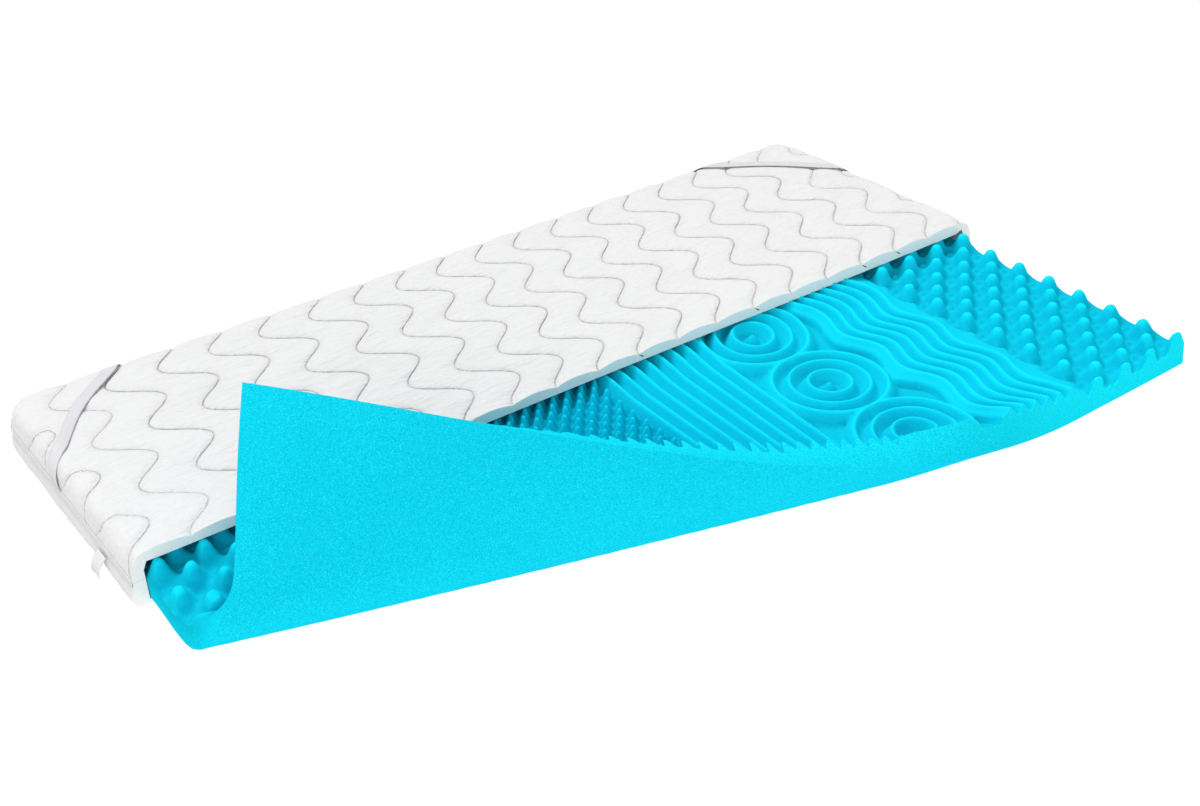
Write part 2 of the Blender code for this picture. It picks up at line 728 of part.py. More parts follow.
def build_strap(name):
    """A flat ribbon from the tape on an end, over the back corner, to the tape on the back."""
    end, start_b, finish_a, bow = STRAPS[name]
    low_a, high_a, high_b = cover_limits()
    trim = TAPE_HALF + GAP + 0.0010
    side = 1.0 if end == "left" else -1.0
    first = Vector((low_a + trim if end == "left" else high_a - trim, start_b))
    last = Vector((finish_a, high_b - trim))
    run = (last - first).normalized()
    outward = Vector((-abs(run.y) * side, abs(run.x)))
    points = []
    for t in STRAP_STEPS:
        for off in (STRAP_LIFT, STRAP_LIFT + STRAP_THICK):
            for k in range(STRAP_ACROSS + 1):
                wide = (2.0 * k / STRAP_ACROSS - 1.0) * STRAP_HALF
                start = first + Vector((0.0, wide / abs(run.x)))
                finish = last - Vector((side * wide / abs(run.y), 0.0))
                p = start.lerp(finish, t) + outward * bow * math.sin(math.pi * t) ** 2
                points.append(guide(p.x, p.y, strap_offset(p.x, p.y) + off))
    wide = STRAP_ACROSS + 1
    rim = tuple(range(wide)) + tuple(reversed(range(wide, 2 * wide)))
    size, faces = len(rim), []
    for k in range(len(STRAP_STEPS) - 1):
        for i in range(size):
            a, b = rim[i] + k * size, rim[(i + 1) % size] + k * size
            faces.append((a, b, b + size, a + size))
    start_cap = [(i, i + 1, wide + i + 1, wide + i) for i in range(STRAP_ACROSS)]
    shift = (len(STRAP_STEPS) - 1) * size
    faces += start_cap + [tuple(i + shift for i in reversed(f)) for f in start_cap]
    return make_object(name, points, faces)


def strap_offset(a, b):
    """Height of the padding's crowns under a strap."""
    hem = smooth((edge_reach(a, b) - (REACH - 0.030)) / 0.022)
    return THICK_CROWN + (THICK_HEM - THICK_CROWN) * hem


def build_label():
    """A small bare tag sewn in under the tape on the left end."""
    y, half = LABEL["y"], LABEL["width"] / 2
    root = Vector((-0.0030, 0.0, SEAM_Z - TAPE_HALF - 0.0015))
    tip = root + Vector((-LABEL["out"], 0.0, -LABEL["drop"]))
    middle = (root + tip) / 2 + Vector((-0.002, 0.0, 0.002))
    points = []
    for place in (root, middle, tip):
        for off in (0.0, -LABEL["thick"]):
            points += [place + Vector((off, y - half, 0.0)), place + Vector((off, y + half, 0.0))]
    faces = []
    order = (0, 1, 3, 2)
    for k in range(2):
        for i in range(4):
            a, b = order[i], order[(i + 1) % 4]
            faces.append((4 * k + a, 4 * k + b, 4 * k + 4 + b, 4 * k + 4 + a))
    faces += [order, tuple(8 + i for i in reversed(order))]
    return make_object("label", points, faces)


def centre_all(objects):
    """Moves the origin to the middle of the underside."""
    corners = [v.co for obj in objects for v in obj.data.vertices]
    low = [min(c[i] for c in corners) for i in range(3)]
    high = [max(c[i] for c in corners) for i in range(3)]
    move = Vector((-(low[0] + high[0]) / 2, -(low[1] + high[1]) / 2, -low[2]))
    for obj in objects:
        for v in obj.data.vertices:
            v.co += move


def main():
    clear_scene()
    objects = [build_core(), build_cover_top(), build_cover_bottom(), build_tape()]
    objects += [build_strap(name) for name in STRAPS]
    objects.append(build_label())
    centre_all(objects)


main()
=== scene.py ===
"""Looks for the cut-away mattress topper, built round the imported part.

Shapes are worked out in the same flat pattern as the solids: X runs along the length from the cover's left
end, Y from the foam's front edge to the back, Z up, in metres. MOVE takes them to the part's own frame.
"""

from math import cos, pi, radians, sin, tau

import bpy
import numpy as np
from mathutils import Matrix, Vector, geometry, noise


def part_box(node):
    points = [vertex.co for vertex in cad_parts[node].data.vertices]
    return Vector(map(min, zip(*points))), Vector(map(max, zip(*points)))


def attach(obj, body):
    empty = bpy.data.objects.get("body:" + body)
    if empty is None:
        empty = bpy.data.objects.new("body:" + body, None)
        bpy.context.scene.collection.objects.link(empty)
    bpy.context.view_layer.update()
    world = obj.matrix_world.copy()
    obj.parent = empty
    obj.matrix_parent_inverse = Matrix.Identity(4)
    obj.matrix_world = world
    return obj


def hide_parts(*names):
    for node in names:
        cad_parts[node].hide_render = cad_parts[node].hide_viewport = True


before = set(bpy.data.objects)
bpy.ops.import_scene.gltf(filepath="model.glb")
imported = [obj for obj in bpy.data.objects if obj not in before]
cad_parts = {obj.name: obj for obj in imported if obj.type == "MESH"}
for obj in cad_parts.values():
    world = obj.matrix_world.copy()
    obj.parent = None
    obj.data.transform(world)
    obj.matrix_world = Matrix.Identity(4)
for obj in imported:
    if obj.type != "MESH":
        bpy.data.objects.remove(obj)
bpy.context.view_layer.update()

# Overall sizes, as in the solids
LENGTH = 2.007
WIDTH = 1.222
CUT_Y = 0.586
SEAM_Z = 0.050
GAP = 0.0004

# Core
CORE_LEFT = 0.028
CORE_RIGHT = 1.979
CORE_BACK = 1.193
CORE_CORNER = 0.050
RELIEF_BACK = 0.655
PLATEAU = 0.070
PLATEAU_EDGE = 0.058
FLOOR = 0.0445
RIGHT_PEAKS = {"first": 1.958, "pitch": 0.0425, "row": 0.0405, "offset": 0.0}
LEFT_PEAKS = {"first": 0.050, "pitch": 0.0405, "row": 0.0405, "offset": 0.0145}
PEAK_TOP = 0.074
VALLEY = 0.036
PEAK_SHAPE = (4.6, 1.8)  # how fast a finger narrows, as bell takes it
PIN_SHAPE = (2.6, 1.5)
SADDLE = {"rise": 0.0065, "share": 0.045}
FRONT_ROW = {"reach": 0.02, "left": 0.008, "right": 0.004, "along": (1.74, 0.24)}  # taller at the front cut
FRONT_RIGHT = {  # towards this corner the peaks stand farther in and taller, and lean in
    "along": (1.75, 0.23), "reach": 0.20, "shift": 0.010, "flank": 0.86, "wider": 0.26,
    "tall": 0.007, "tall_reach": 0.12, "tall_along": (1.86, 0.06),
    "lean_reach": 0.15, "foot_out": 0.006, "top_in": 0.014,
}
PINS = {"first": 0.604, "pitch": 0.0163, "row": 0.0204, "top": 0.069, "foot": 0.037}
STRAIGHT = {
    "ridges": 8, "top": 0.071, "foot": 0.043,
    "at": (0.0, 0.146, 0.576), "first": (0.963, 0.962, 0.971), "pitch": (0.0311, 0.0283, 0.0321),
}
LEFT_RIDGES = {"first": 0.388, "ridges": 6, "pitch": 0.0350, "top": 0.070, "foot": 0.044}
WAVES = {"first": 1.463, "ridges": 6, "pitch": 0.0315, "period": 0.165, "swing": 0.013, "crest": 0.0165}
WAVE_TOP = 0.072
WAVE_FOOT = 0.046
WAVE_LIP = {"u": 1.4385, "height": 0.0590, "bead": 0.0012, "dent": 0.012, "dent_v": 0.254, "dent_half": 0.030}
WAVE_END = {"u": 1.672, "drop": 0.020}
CIRCLE_U = 1.306
CIRCLE_V = (0.092, 0.315, 0.538)
RINGS = (0.042, 0.0785, 0.111)
RING_HALF = 0.0150
RING_TOP = 0.070
KNOB = {"half": 0.0130, "top": 0.0645, "tip": 0.005}
TOOTH = {"u": 1.215, "half": 0.0160, "top": 0.0700}
BAR = {"from": 1.237, "to": 1.366, "half": 0.0140, "top": 0.0700, "tip": 0.003}
FRONT_BOW = {"depth": 0.007, "middle": 1.75, "half": 0.35, "reach": 0.25}
# Where each zone ends on its right, and the width over which the next one takes over
BORDERS = {
    "left peaks": (0.366, 0.010), "left ridges": (0.598, 0.006), "pins": (0.952, 0.006),
    "straight": (1.226, 0.004), "waves": (1.668, 0.010),
}

# Columns and rows of points on the core. Round the straight ridges the columns are given as at the ridges'
# back end, and column_place leans them.
RIDGE_FIRST, RIDGE_PITCH = STRAIGHT["first"][-1], STRAIGHT["pitch"][-1]
RIDGE_PARTS = (0.0, 0.08, 0.18, 0.31, 0.44, 0.56, 0.69, 0.82, 0.92)
LEAN_IN = {"from": 0.957, "over": 0.014}
LEAN_OUT = 1.30
BLOCK = (RIDGE_FIRST + 7 * RIDGE_PITCH, 1.6764)
COLUMNS = [  # start, end and spacing
    (CORE_LEFT, LEFT_PEAKS["first"], 0.0055),
    (LEFT_PEAKS["first"], 0.374, LEFT_PEAKS["pitch"] / 7),
    (0.374, LEFT_RIDGES["first"], 0.0047),
    (LEFT_RIDGES["first"], 0.563, LEFT_RIDGES["pitch"] / 8),
    (0.563, PINS["first"], 0.0050),
    (PINS["first"], LEAN_IN["from"], PINS["pitch"] / 6),
    (LEAN_IN["from"], RIDGE_FIRST, 0.0047),
]
COLUMNS += [
    (RIDGE_FIRST + RIDGE_PITCH * (k + a), RIDGE_FIRST + RIDGE_PITCH * (k + b), 1.0)
    for k in range(7) for a, b in zip(RIDGE_PARTS, RIDGE_PARTS[1:] + (1.0,))
]
COLUMNS += [
    (BLOCK[0], BLOCK[1], 0.0046),
    (BLOCK[1], RIGHT_PEAKS["first"], RIGHT_PEAKS["pitch"] / 8),
    (RIGHT_PEAKS["first"], CORE_RIGHT, 0.0053),
]
ROW = RIGHT_PEAKS["row"] / 10
RELIEF_END = 0.010  # over which the carving fades under the cover
STEP = 4  # the plain side of the core and of the top panel has every fourth row and column

# Curl
FOLD_V = 0.463
FOLD_ANGLE = 0.291
NEUTRAL = 0.020
RADIUS = (0.035, 0.0622, -0.0446)  # of the fold, by powers of the place along its line
TURN = (2.294, -1.668, 0.4516)
AFTER = {"curve": (0.309, 3.715), "end": 1.57, "fade": 0.12}
ALONG_ENDS = (-0.1, 1.45)
TAIL = {"from": 1.23, "over": 0.25, "more": 0.051, "radius": 0.10, "end": 1.90, "fade": 0.20}
SQUEEZE = {"shift": 0.0584, "fade": 0.452, "reach": 0.144, "back": -0.0078, "tail": 0.25}
ROLL_STEPS = 96
ROLL_START = 0.03
ROLL_END = (0.015, 0.012)
COVER_LIFT = (0.485, 0.085)  # where the core begins to rise on to the lower panel, and over what depth

# Cover
INSIDE_TOP = 0.0843
INSIDE_SIDE = 0.0262
PANEL = 0.008
CORNER = 0.050
EDGE = 0.012
THICK_SEAM = 0.0120
THICK_CROWN = 0.0205
THICK_HEM = 0.0230
CUT_FADE = 0.035
SAG = {"depth": 0.0080, "outer": 0.35, "least": 0.25, "from": 0.90, "over": 0.80, "fade": 0.05}
PULL = {"amount": 0.010, "reach": 0.07}  # the back left corner, drawn out
ARC = EDGE * pi / 2
REACH = CORNER - EDGE + ARC + INSIDE_TOP - EDGE - SEAM_Z - GAP / 2
LEFT = INSIDE_SIDE + CORNER
RIGHT = LENGTH - LEFT
BACK = WIDTH - LEFT
CLOTH_LOW, CLOTH_HIGH = LEFT - REACH, RIGHT + REACH
SEAM_AT = [
    -0.087, 0.019, 0.126, 0.234, 0.341, 0.448, 0.556, 0.668, 0.773, 0.874, 0.974,
    1.073, 1.173, 1.275, 1.377, 1.480, 1.583, 1.687, 1.790, 1.893, 1.996, 2.100,
]
SEAM_MIDDLE = 0.90
SEAM_LEAN = (-0.085, 0.030)
SEAM_SWING = 0.0375
SEAM_PERIOD = 0.1806
SEAM_PHASE = 0.8085
SEAM_PITCH = 0.1045
SEAM_ENDS = 0.13  # the strip at each end in which the columns stop following the seams
SEAM_PARTS = (0.0, 0.02, 0.045, 0.08, 0.13, 0.20, 0.29, 0.39, 0.50, 0.61, 0.71, 0.80, 0.87, 0.92, 0.955, 0.98)

# Lower panel
SIDE_RADIUS = 0.019
SIDE_FULL = 0.0065
SIDE_TURNS = 10

# Tape, straps and label
TAPE_HALF = 0.006
TAPE_OUT = 0.0022
STRAP_HALF = 0.0125
STRAP_THICK = 0.0016
STRAP_LIFT = 0.0004
STRAPS = {  # end, place on it, place on the back, and bow towards the corner
    "strap_back_left": ("left", 0.925, 0.245, 0.020),
    "strap_back_right": ("right", 0.950, 1.690, 0.018),
}
LABEL = {"y": 0.708, "width": 0.036, "drop": 0.040, "out": 0.016, "thick": 0.0008}

# Camera, in the pattern's frame
LENS = 46.04
CAMERA_AT = (-0.5253, -1.4695, 1.6127)
AZIMUTH = 0.6239
ELEVATION = 0.5604
TILT = -0.0302

bottom_low, bottom_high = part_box("cover_bottom")
MOVE = np.array([
    bottom_low.x - (LEFT - CORNER - THICK_HEM), bottom_high.y - (BACK + CORNER + THICK_HEM), 0.0
])


# ---- materials


class Paint:
    """A node material built up step by step."""

    def __init__(self, name, roughness, sheen=0.0, specular=0.03):
        self.mat = bpy.data.materials.new(name)
        self.mat.use_nodes = True
        self.tree = self.mat.node_tree
        self.shader = self.tree.nodes["Principled BSDF"]
        self.shader.inputs["Roughness"].default_value = roughness
        self.shader.inputs["Sheen Weight"].default_value = sheen
        self.shader.inputs["Specular IOR Level"].default_value = specular
        self.place = self.add("ShaderNodeTexCoord").outputs["Object"]

    def add(self, kind, plugs=None, **settings):
        node = self.tree.nodes.new(kind)
        for key, value in settings.items():
            setattr(node, key, value)
        for key, value in (plugs or {}).items():
            self.plug(node.inputs[key], value)
        return node

    def plug(self, socket, value):
        if isinstance(value, bpy.types.NodeSocket):
            self.tree.links.new(value, socket)
        else:
            socket.default_value = value

    def math(self, operation, *values, clamp=False):
        node = self.add("ShaderNodeMath", operation=operation, use_clamp=clamp)
        for k, value in enumerate(values):
            self.plug(node.inputs[k], value)
        return node.outputs[0]

    def noise(self, scale, detail=3.0, rough=0.55, vector=None):
        plugs = {"Vector": vector or self.place, "Scale": scale, "Detail": detail, "Roughness": rough}
        return self.add("ShaderNodeTexNoise", plugs).outputs["Fac"]

    def cells(self, scale, output="Distance"):
        plugs = {"Vector": self.place, "Scale": scale}
        return self.add("ShaderNodeTexVoronoi", plugs).outputs[output]

    def map_xy(self, name):
        where = self.add("ShaderNodeUVMap", uv_map=name).outputs["UV"]
        parts = self.add("ShaderNodeSeparateXYZ", {"Vector": where})
        return parts.outputs["X"], parts.outputs["Y"]

    def squeezed(self, **plugs):
        return self.add("ShaderNodeMapping", {"Vector": self.place, **plugs}).outputs["Vector"]

    def times(self, a, b):
        return self.math("MULTIPLY", a, b)

    def span(self, value, low, high, to_low=0.0, to_high=1.0):
        plugs = {"Value": value, "From Min": low, "From Max": high, "To Min": to_low, "To Max": to_high}
        return self.add("ShaderNodeMapRange", plugs, interpolation_type="SMOOTHSTEP").outputs["Result"]

    def mix(self, factor, a, b):
        node = self.add("ShaderNodeMix", data_type="RGBA")
        for k, value in ((0, factor), (6, a), (7, b)):
            self.plug(node.inputs[k], value)
        return node.outputs[2]

    def bump(self, height, distance, strength=1.0, under=None):
        plugs = {"Height": height, "Distance": distance, "Strength": strength}
        if under:
            plugs["Normal"] = under
        return self.add("ShaderNodeBump", plugs).outputs["Normal"]

    def finish(self, colour, normal):
        self.plug(self.shader.inputs["Base Color"], colour)
        self.plug(self.shader.inputs["Normal"], normal)
        return self.mat


def rgb(red, green, blue):
    return (red, green, blue, 1.0)


def foam_material():
    """Fine-celled foam. The map holds painted shade (a painted highlight above 0 on the crests and the front
    cut, and painted shade below 0 in the grooves and valleys) and how much of the open grain shows."""
    paint = Paint("foam", 0.9, specular=0.0)
    relief, open_grain = paint.map_xy("relief")
    lumps = paint.noise(60.0, 4.0)
    fine = paint.noise(430.0, 2.0, 0.7)
    cloud = paint.noise(7.0, 2.0)
    base = paint.mix(paint.span(cloud, 0.3, 0.7), rgb(0.005, 0.685, 0.890), rgb(0.005, 0.715, 0.920))
    # Painted highlight: lighter cyan on the crests and the front cut face, where the map is above 0
    base = paint.mix(paint.math("MAXIMUM", relief, 0.0), base, rgb(0.008, 0.86, 1.0))
    # Painted shade: darker cyan in the grooves and valleys, where the map is below 0
    painted_groove_shade = paint.math("MAXIMUM", paint.times(relief, -1.0), 0.0)
    base = paint.mix(painted_groove_shade, base, rgb(0.004, 0.50, 0.66))
    grain = paint.times(paint.span(fine, 0.38, 0.62), open_grain)
    base = paint.mix(grain, base, rgb(0.004, 0.53, 0.70))
    pick = paint.add("ShaderNodeSeparateColor", {"Color": paint.cells(260.0, "Color")}).outputs["Red"]
    chosen = paint.math("GREATER_THAN", pick, 0.5)
    speck = paint.times(paint.span(paint.cells(260.0), 0.42, 0.12), chosen)
    base = paint.mix(paint.times(speck, paint.times(open_grain, 0.55)), base, rgb(0.04, 0.84, 1.0))
    normal = paint.bump(lumps, 0.0016, 0.35)
    return paint.finish(base, paint.bump(fine, 0.0007, 0.5, normal))


def knit(paint, strength=0.5):
    """Small bumps of a jersey knit, over soft unevenness."""
    soft = paint.bump(paint.noise(38.0, 3.0), 0.0030, 0.35)
    fine = paint.bump(paint.cells(620.0), 0.0006, strength, soft)
    return paint.bump(paint.noise(900.0, 2.0), 0.0004, strength, fine)


def quilt_material():
    """White jersey, stitched down each seam. The map holds the seam number and the place along it."""
    paint = Paint("quilted_jersey", 0.9, sheen=0.2)
    seam, along = paint.map_xy("quilt")
    turn = paint.times(paint.math("SUBTRACT", along, SEAM_PHASE), tau / SEAM_PERIOD)
    slope = paint.times(paint.math("COSINE", turn), SEAM_SWING * tau / SEAM_PERIOD)
    stretch = paint.math("SQRT", paint.math("ADD", paint.times(slope, slope), 1.0))
    away = paint.math("DIVIDE", paint.times(paint.math("PINGPONG", seam, 0.5), SEAM_PITCH), stretch)
    stitch = paint.math("PINGPONG", paint.times(along, 340.0), 0.5)
    line = paint.span(away, 0.0016, 0.0003)
    thread = paint.times(line, paint.span(stitch, 0.05, 0.20))
    painted_seam_shade = paint.span(away, 0.016, 0.0)
    cloud = paint.span(paint.noise(9.0, 3.0), 0.3, 0.7)
    base = paint.mix(cloud, rgb(0.735, 0.735, 0.737), rgb(0.755, 0.755, 0.757))
    # Painted shade beside each seam, darkest at the seam line
    base = paint.mix(paint.times(painted_seam_shade, 0.32), base, rgb(0.66, 0.655, 0.655))
    broken = paint.span(paint.noise(15.0, 2.0), 0.38, 0.62, 0.22, 0.85)
    base = paint.mix(paint.times(line, broken), base, rgb(0.33, 0.32, 0.318))
    base = paint.mix(paint.times(thread, 0.45), base, rgb(0.78, 0.775, 0.775))
    pucker = paint.times(paint.noise(130.0, 2.0), paint.span(away, 0.026, 0.002))
    streak = paint.squeezed(Rotation=(0.0, 0.0, 0.5), Scale=(1.0, 3.2, 1.0))
    crumple = paint.noise(16.0, 4.0, 0.6, streak)
    normal = paint.bump(line, -0.0016, 0.8, knit(paint))
    normal = paint.bump(crumple, 0.0160, 0.50, normal)
    return paint.finish(base, paint.bump(pucker, 0.0045, 0.55, normal))


def jersey_material(name, light):
    paint = Paint(name, 0.9, sheen=0.2)
    cloud = paint.span(paint.noise(12.0, 3.0), 0.3, 0.7)
    base = paint.mix(cloud, rgb(light * 0.96, light * 0.96, light * 0.965), rgb(light, light, light * 1.003))
    return paint.finish(base, knit(paint))


def wadding_material():
    """The cut face of the padding: pale, a little blue, with fine fibres."""
    paint = Paint("wadding", 0.95)
    fibres = paint.noise(160.0, 5.0, 0.7, paint.squeezed(Scale=(1.0, 1.0, 6.0)))
    base = paint.mix(paint.span(fibres, 0.3, 0.7), rgb(0.90, 0.83, 0.79), rgb(1.0, 0.94, 0.90))
    return paint.finish(base, paint.bump(fibres, 0.0012, 0.6))


def tape_material():
    """Woven tape with a row of stitches along each edge."""
    paint = Paint("tape_weave", 0.8, sheen=0.1)
    height = paint.add("ShaderNodeSeparateXYZ", {"Vector": paint.place}).outputs["Z"]
    off = paint.math("ABSOLUTE", paint.math("SUBTRACT", height, SEAM_Z))
    row = paint.span(paint.math("ABSOLUTE", paint.math("SUBTRACT", off, 0.0040)), 0.0012, 0.0003)
    weave = paint.noise(700.0, 2.0)
    base = paint.mix(paint.span(weave, 0.3, 0.7), rgb(0.74, 0.73, 0.74), rgb(0.82, 0.81, 0.82))
    base = paint.mix(paint.times(row, 0.5), base, rgb(0.42, 0.40, 0.40))
    normal = paint.bump(row, -0.0010, 0.8)
    return paint.finish(base, paint.bump(weave, 0.0006, 0.7, normal))


def strap_material():
    """Elastic webbing: fine ribs along it and a denser edge. The map holds across and along, in metres."""
    paint = Paint("elastic", 0.75, sheen=0.15)
    across, along = paint.map_xy("strap")
    ribs = paint.math("PINGPONG", paint.times(across, 1.0 / 0.0021), 0.5)
    picks = paint.math("PINGPONG", paint.times(along, 1.0 / 0.0016), 0.5)
    edge = paint.span(paint.math("ABSOLUTE", across), 0.0098, 0.0116)
    base = paint.mix(paint.span(ribs, 0.10, 0.45), rgb(0.62, 0.61, 0.635), rgb(0.75, 0.74, 0.765))
    base = paint.mix(paint.times(edge, 0.5), base, rgb(0.64, 0.63, 0.65))
    normal = paint.bump(ribs, 0.0010, 0.7)
    return paint.finish(base, paint.bump(picks, 0.0005, 0.5, normal))


def label_material():
    paint = Paint("satin_label", 0.45, sheen=0.1)
    weave = paint.noise(420.0, 2.0, 0.5, paint.squeezed(Scale=(1.0, 1.0, 8.0)))
    base = paint.mix(paint.span(weave, 0.3, 0.7), rgb(0.70, 0.70, 0.71), rgb(0.76, 0.76, 0.765))
    return paint.finish(base, paint.bump(weave, 0.0004, 0.5))


def floor_material():
    paint = Paint("studio_floor", 0.9)
    cloud = paint.span(paint.noise(0.8, 1.0), 0.2, 0.8)
    base = paint.mix(cloud, rgb(0.12, 0.12, 0.12), rgb(0.125, 0.125, 0.125))
    paint.shader.inputs["Emission Color"].default_value = rgb(1.0, 1.0, 1.0)
    paint.shader.inputs["Emission Strength"].default_value = 0.96
    return paint.finish(base, paint.bump(paint.noise(40.0, 1.0), 0.0002, 0.1))


# ---- meshes


def smooth(x):
    x = np.clip(x, 0.0, 1.0)
    return x * x * (3.0 - 2.0 * x)


def ramp(x, start, over):
    return smooth((x - start) / over)


def hump(x, middle, half):
    return np.exp(-(((x - middle) / half) ** 2))


def uneven(points, scale, seed):
    """Soft noise from -1 to 1 at each point."""
    shift = Vector((seed * 3.7, seed * 1.3, seed * 2.1))
    return np.array([noise.noise(Vector(p) * scale + shift) for p in points])


def pulled(points):
    """The cover with its back left corner drawn out a little, as it lies in the photograph."""
    points = np.array(points, float)
    dx, dy = np.maximum(LEFT - points[:, 0], 0.0), np.maximum(points[:, 1] - BACK, 0.0)
    r = np.maximum(np.hypot(dx, dy), 1e-9)
    amount = PULL["amount"] * (2.0 * dx * dy / r**2) ** 2 * np.minimum(r / PULL["reach"], 1.0)
    points[:, 0] -= amount * dx / r
    points[:, 1] += amount * dy / r
    return points


def add_object(name, points, faces, paints, sharp=(), face_paint=None, uv=None):
    """A smooth mesh without its unused points. sharp lists runs of points with hard edges between them,
    face_paint the number of each face's material, and uv a map's name and its values at the points."""
    used = np.unique(np.fromiter((k for face in faces for k in face), np.int64))
    number = np.full(len(points), -1)
    number[used] = np.arange(len(used))
    faces = [[int(number[k]) for k in face] for face in faces]
    mesh = bpy.data.meshes.new(name)
    points = np.asarray(points) if name == "foam_core" else pulled(points)
    mesh.from_pydata((points[used] + MOVE).tolist(), [], faces)
    mesh.validate()
    for paint in paints:
        mesh.materials.append(paint)
    mesh.shade_smooth()
    if face_paint is not None:
        mesh.polygons.foreach_set("material_index", np.asarray(face_paint, np.int32))
    if sharp:
        ends = np.zeros(len(mesh.edges) * 2, np.int32)
        mesh.edges.foreach_get("vertices", ends)
        ends = ends.reshape(-1, 2)
        hard = np.zeros(len(ends), bool)
        for rim in sharp:
            flag = np.zeros(len(mesh.vertices), bool)
            flag[number[rim]] = True
            hard |= flag[ends].all(axis=1)
        mesh.edges.foreach_set("use_edge_sharp", hard)
    if uv is not None:
        layer = mesh.uv_layers.new(name=uv[0])
        corner = np.zeros(len(mesh.loops), np.int32)
        mesh.loops.foreach_get("vertex_index", corner)
        layer.data.foreach_set("uv", np.asarray(uv[1], np.float32)[used][corner].ravel())
    obj = bpy.data.objects.new(name, mesh)
    bpy.context.scene.collection.objects.link(obj)
    return obj


def grid_faces(columns, rows, base=0, flip=False):
    i, j = np.meshgrid(np.arange(columns - 1), np.arange(rows - 1), indexing="ij")
    a = (base + i * rows + j).ravel()
    quads = np.stack([a, a + rows, a + rows + 1, a + 1], axis=1)
    return (quads[:, ::-1] if flip else quads).tolist()


def grid_rim(columns, rows, base=0):
    """The outline of a grid as four runs, counter-clockwise seen from above, starting along the front."""
    grid = base + np.arange(columns * rows).reshape(columns, rows)
    return [grid[:, 0].tolist(), grid[-1].tolist(), grid[::-1, -1].tolist(), grid[0, ::-1].tolist()]


def wall(fine, rough):
    """Faces between a fine run of points and one with fewer."""
    step = (len(fine) - 1) // (len(rough) - 1)
    half, faces = step // 2, []
    for k in range(len(rough) - 1):
        a, b = rough[k], rough[k + 1]
        run = fine[k * step : (k + 1) * step + 1]
        faces += [(run[i], a, run[i + 1]) for i in range(half)]
        faces.append((run[half], a, b))
        faces += [(run[i], b, run[i + 1]) for i in range(half, step)]
    return faces


def coarse(columns, rows):
    """Which points of a grid have a partner on the coarse side."""
    keep = np.zeros((len(columns), len(rows)), bool)
    keep[::STEP, ::STEP] = True
    return keep.ravel()


def slab(name, outer, inner, columns, rows, paints, uv, front_paint=0, top=None):
    """A closed body from a fine outer grid and a coarse inner one. front_paint is for the front wall, and top
    stands in for the outer grid's own faces."""
    count = len(outer)
    few_columns, few_rows = (columns - 1) // STEP + 1, (rows - 1) // STEP + 1
    points = np.vstack([outer, inner])
    faces = (top or grid_faces(columns, rows)) + grid_faces(few_columns, few_rows, count, flip=True)
    face_paint = [0] * len(faces)
    outer_rim, inner_rim = grid_rim(columns, rows), grid_rim(few_columns, few_rows, count)
    for side in range(4):
        more = wall(outer_rim[side], inner_rim[side])
        faces += more
        face_paint += [0 if side else front_paint] * len(more)
    corners = [[outer_rim[k][0], inner_rim[k][0]] for k in range(4)]
    sharp = [sum(outer_rim, []), sum(inner_rim, [])] + corners
    return add_object(name, points, faces, paints, sharp, face_paint, (uv[0], np.vstack(uv[1:])))


def spaced(parts):
    """Positions from (start, end, spacing) parts, with a count that the coarse grid divides."""
    places = []
    for start, end, spacing in parts:
        n = max(1, int(round((end - start) / spacing)))
        places += [start + (end - start) * k / n for k in range(n)]
    places.append(parts[-1][1])
    while (len(places) - 1) % STEP:
        k = int(np.argmax(np.diff(places)))
        places.insert(k + 1, (places[k] + places[k + 1]) / 2)
    return np.array(places)


# ---- the core


def crest(distance, half, top, foot, tip=0.0045, power=1.4):
    """Height across a ridge: a rounded tip and hollow flanks."""
    part = np.clip(1.0 - (np.sqrt(distance**2 + tip**2) - tip) / half, 0.0, 1.0)
    return foot + (top - foot) * part**power


def checker(i, j):
    """1 on every other crossing of the grid lines and 0 on those between."""
    return 0.5 + 0.5 * np.cos(pi * i) * np.cos(pi * j)


def bell(share, low, high, spread, power):
    """A rounded finger from a share that runs from 0 in the valleys to 1 on the tops."""
    share = np.clip(share, 1e-4, 1.0)
    return low + (high - low) / (1.0 + spread * ((1.0 - share) / share) ** power)


def peak_field(u, v, zone):
    corner, row, right = FRONT_RIGHT, FRONT_ROW, u > 1.0
    near = hump(v, 0.0, corner["reach"]) * ramp(u, *corner["along"])
    i = (u + corner["shift"] * near - zone["first"]) / zone["pitch"]
    i = i * np.where((i > 0.0) & right, corner["flank"] - corner["wider"] * near, 1.0)
    share = checker(i, (v - zone["offset"]) / zone["row"])
    taller = np.where(right, row["right"] * ramp(u, *row["along"]), row["left"])
    high = PEAK_TOP + hump(v, 0.0, row["reach"]) * taller
    high = high + corner["tall"] * hump(v, 0.0, corner["tall_reach"]) * ramp(u, *corner["tall_along"])
    return bell(share, VALLEY, high, *PEAK_SHAPE) + SADDLE["rise"] * hump(share, 0.0, SADDLE["share"])


def pin_field(u, v):
    share = checker((u - PINS["first"]) / PINS["pitch"], v / PINS["row"])
    return bell(share, PINS["foot"], PINS["top"], *PIN_SHAPE)


def ridge_line(v, k):
    """Where straight ridge k lies."""
    at = STRAIGHT["at"]
    return np.interp(v, at, STRAIGHT["first"]) + k * np.interp(v, at, STRAIGHT["pitch"])


def straight_field(u, v):
    pitch = np.interp(v, STRAIGHT["at"], STRAIGHT["pitch"])
    k = np.clip(np.round((u - ridge_line(v, 0)) / pitch), 0, STRAIGHT["ridges"] - 1)
    return crest(np.abs(u - ridge_line(v, k)), pitch / 2, STRAIGHT["top"], STRAIGHT["foot"])


def left_ridge_field(u):
    zone = LEFT_RIDGES
    k = np.clip(np.round((u - zone["first"]) / zone["pitch"]), 0, zone["ridges"] - 1)
    return crest(np.abs(u - zone["first"] - k * zone["pitch"]), zone["pitch"] / 2, zone["top"], zone["foot"])


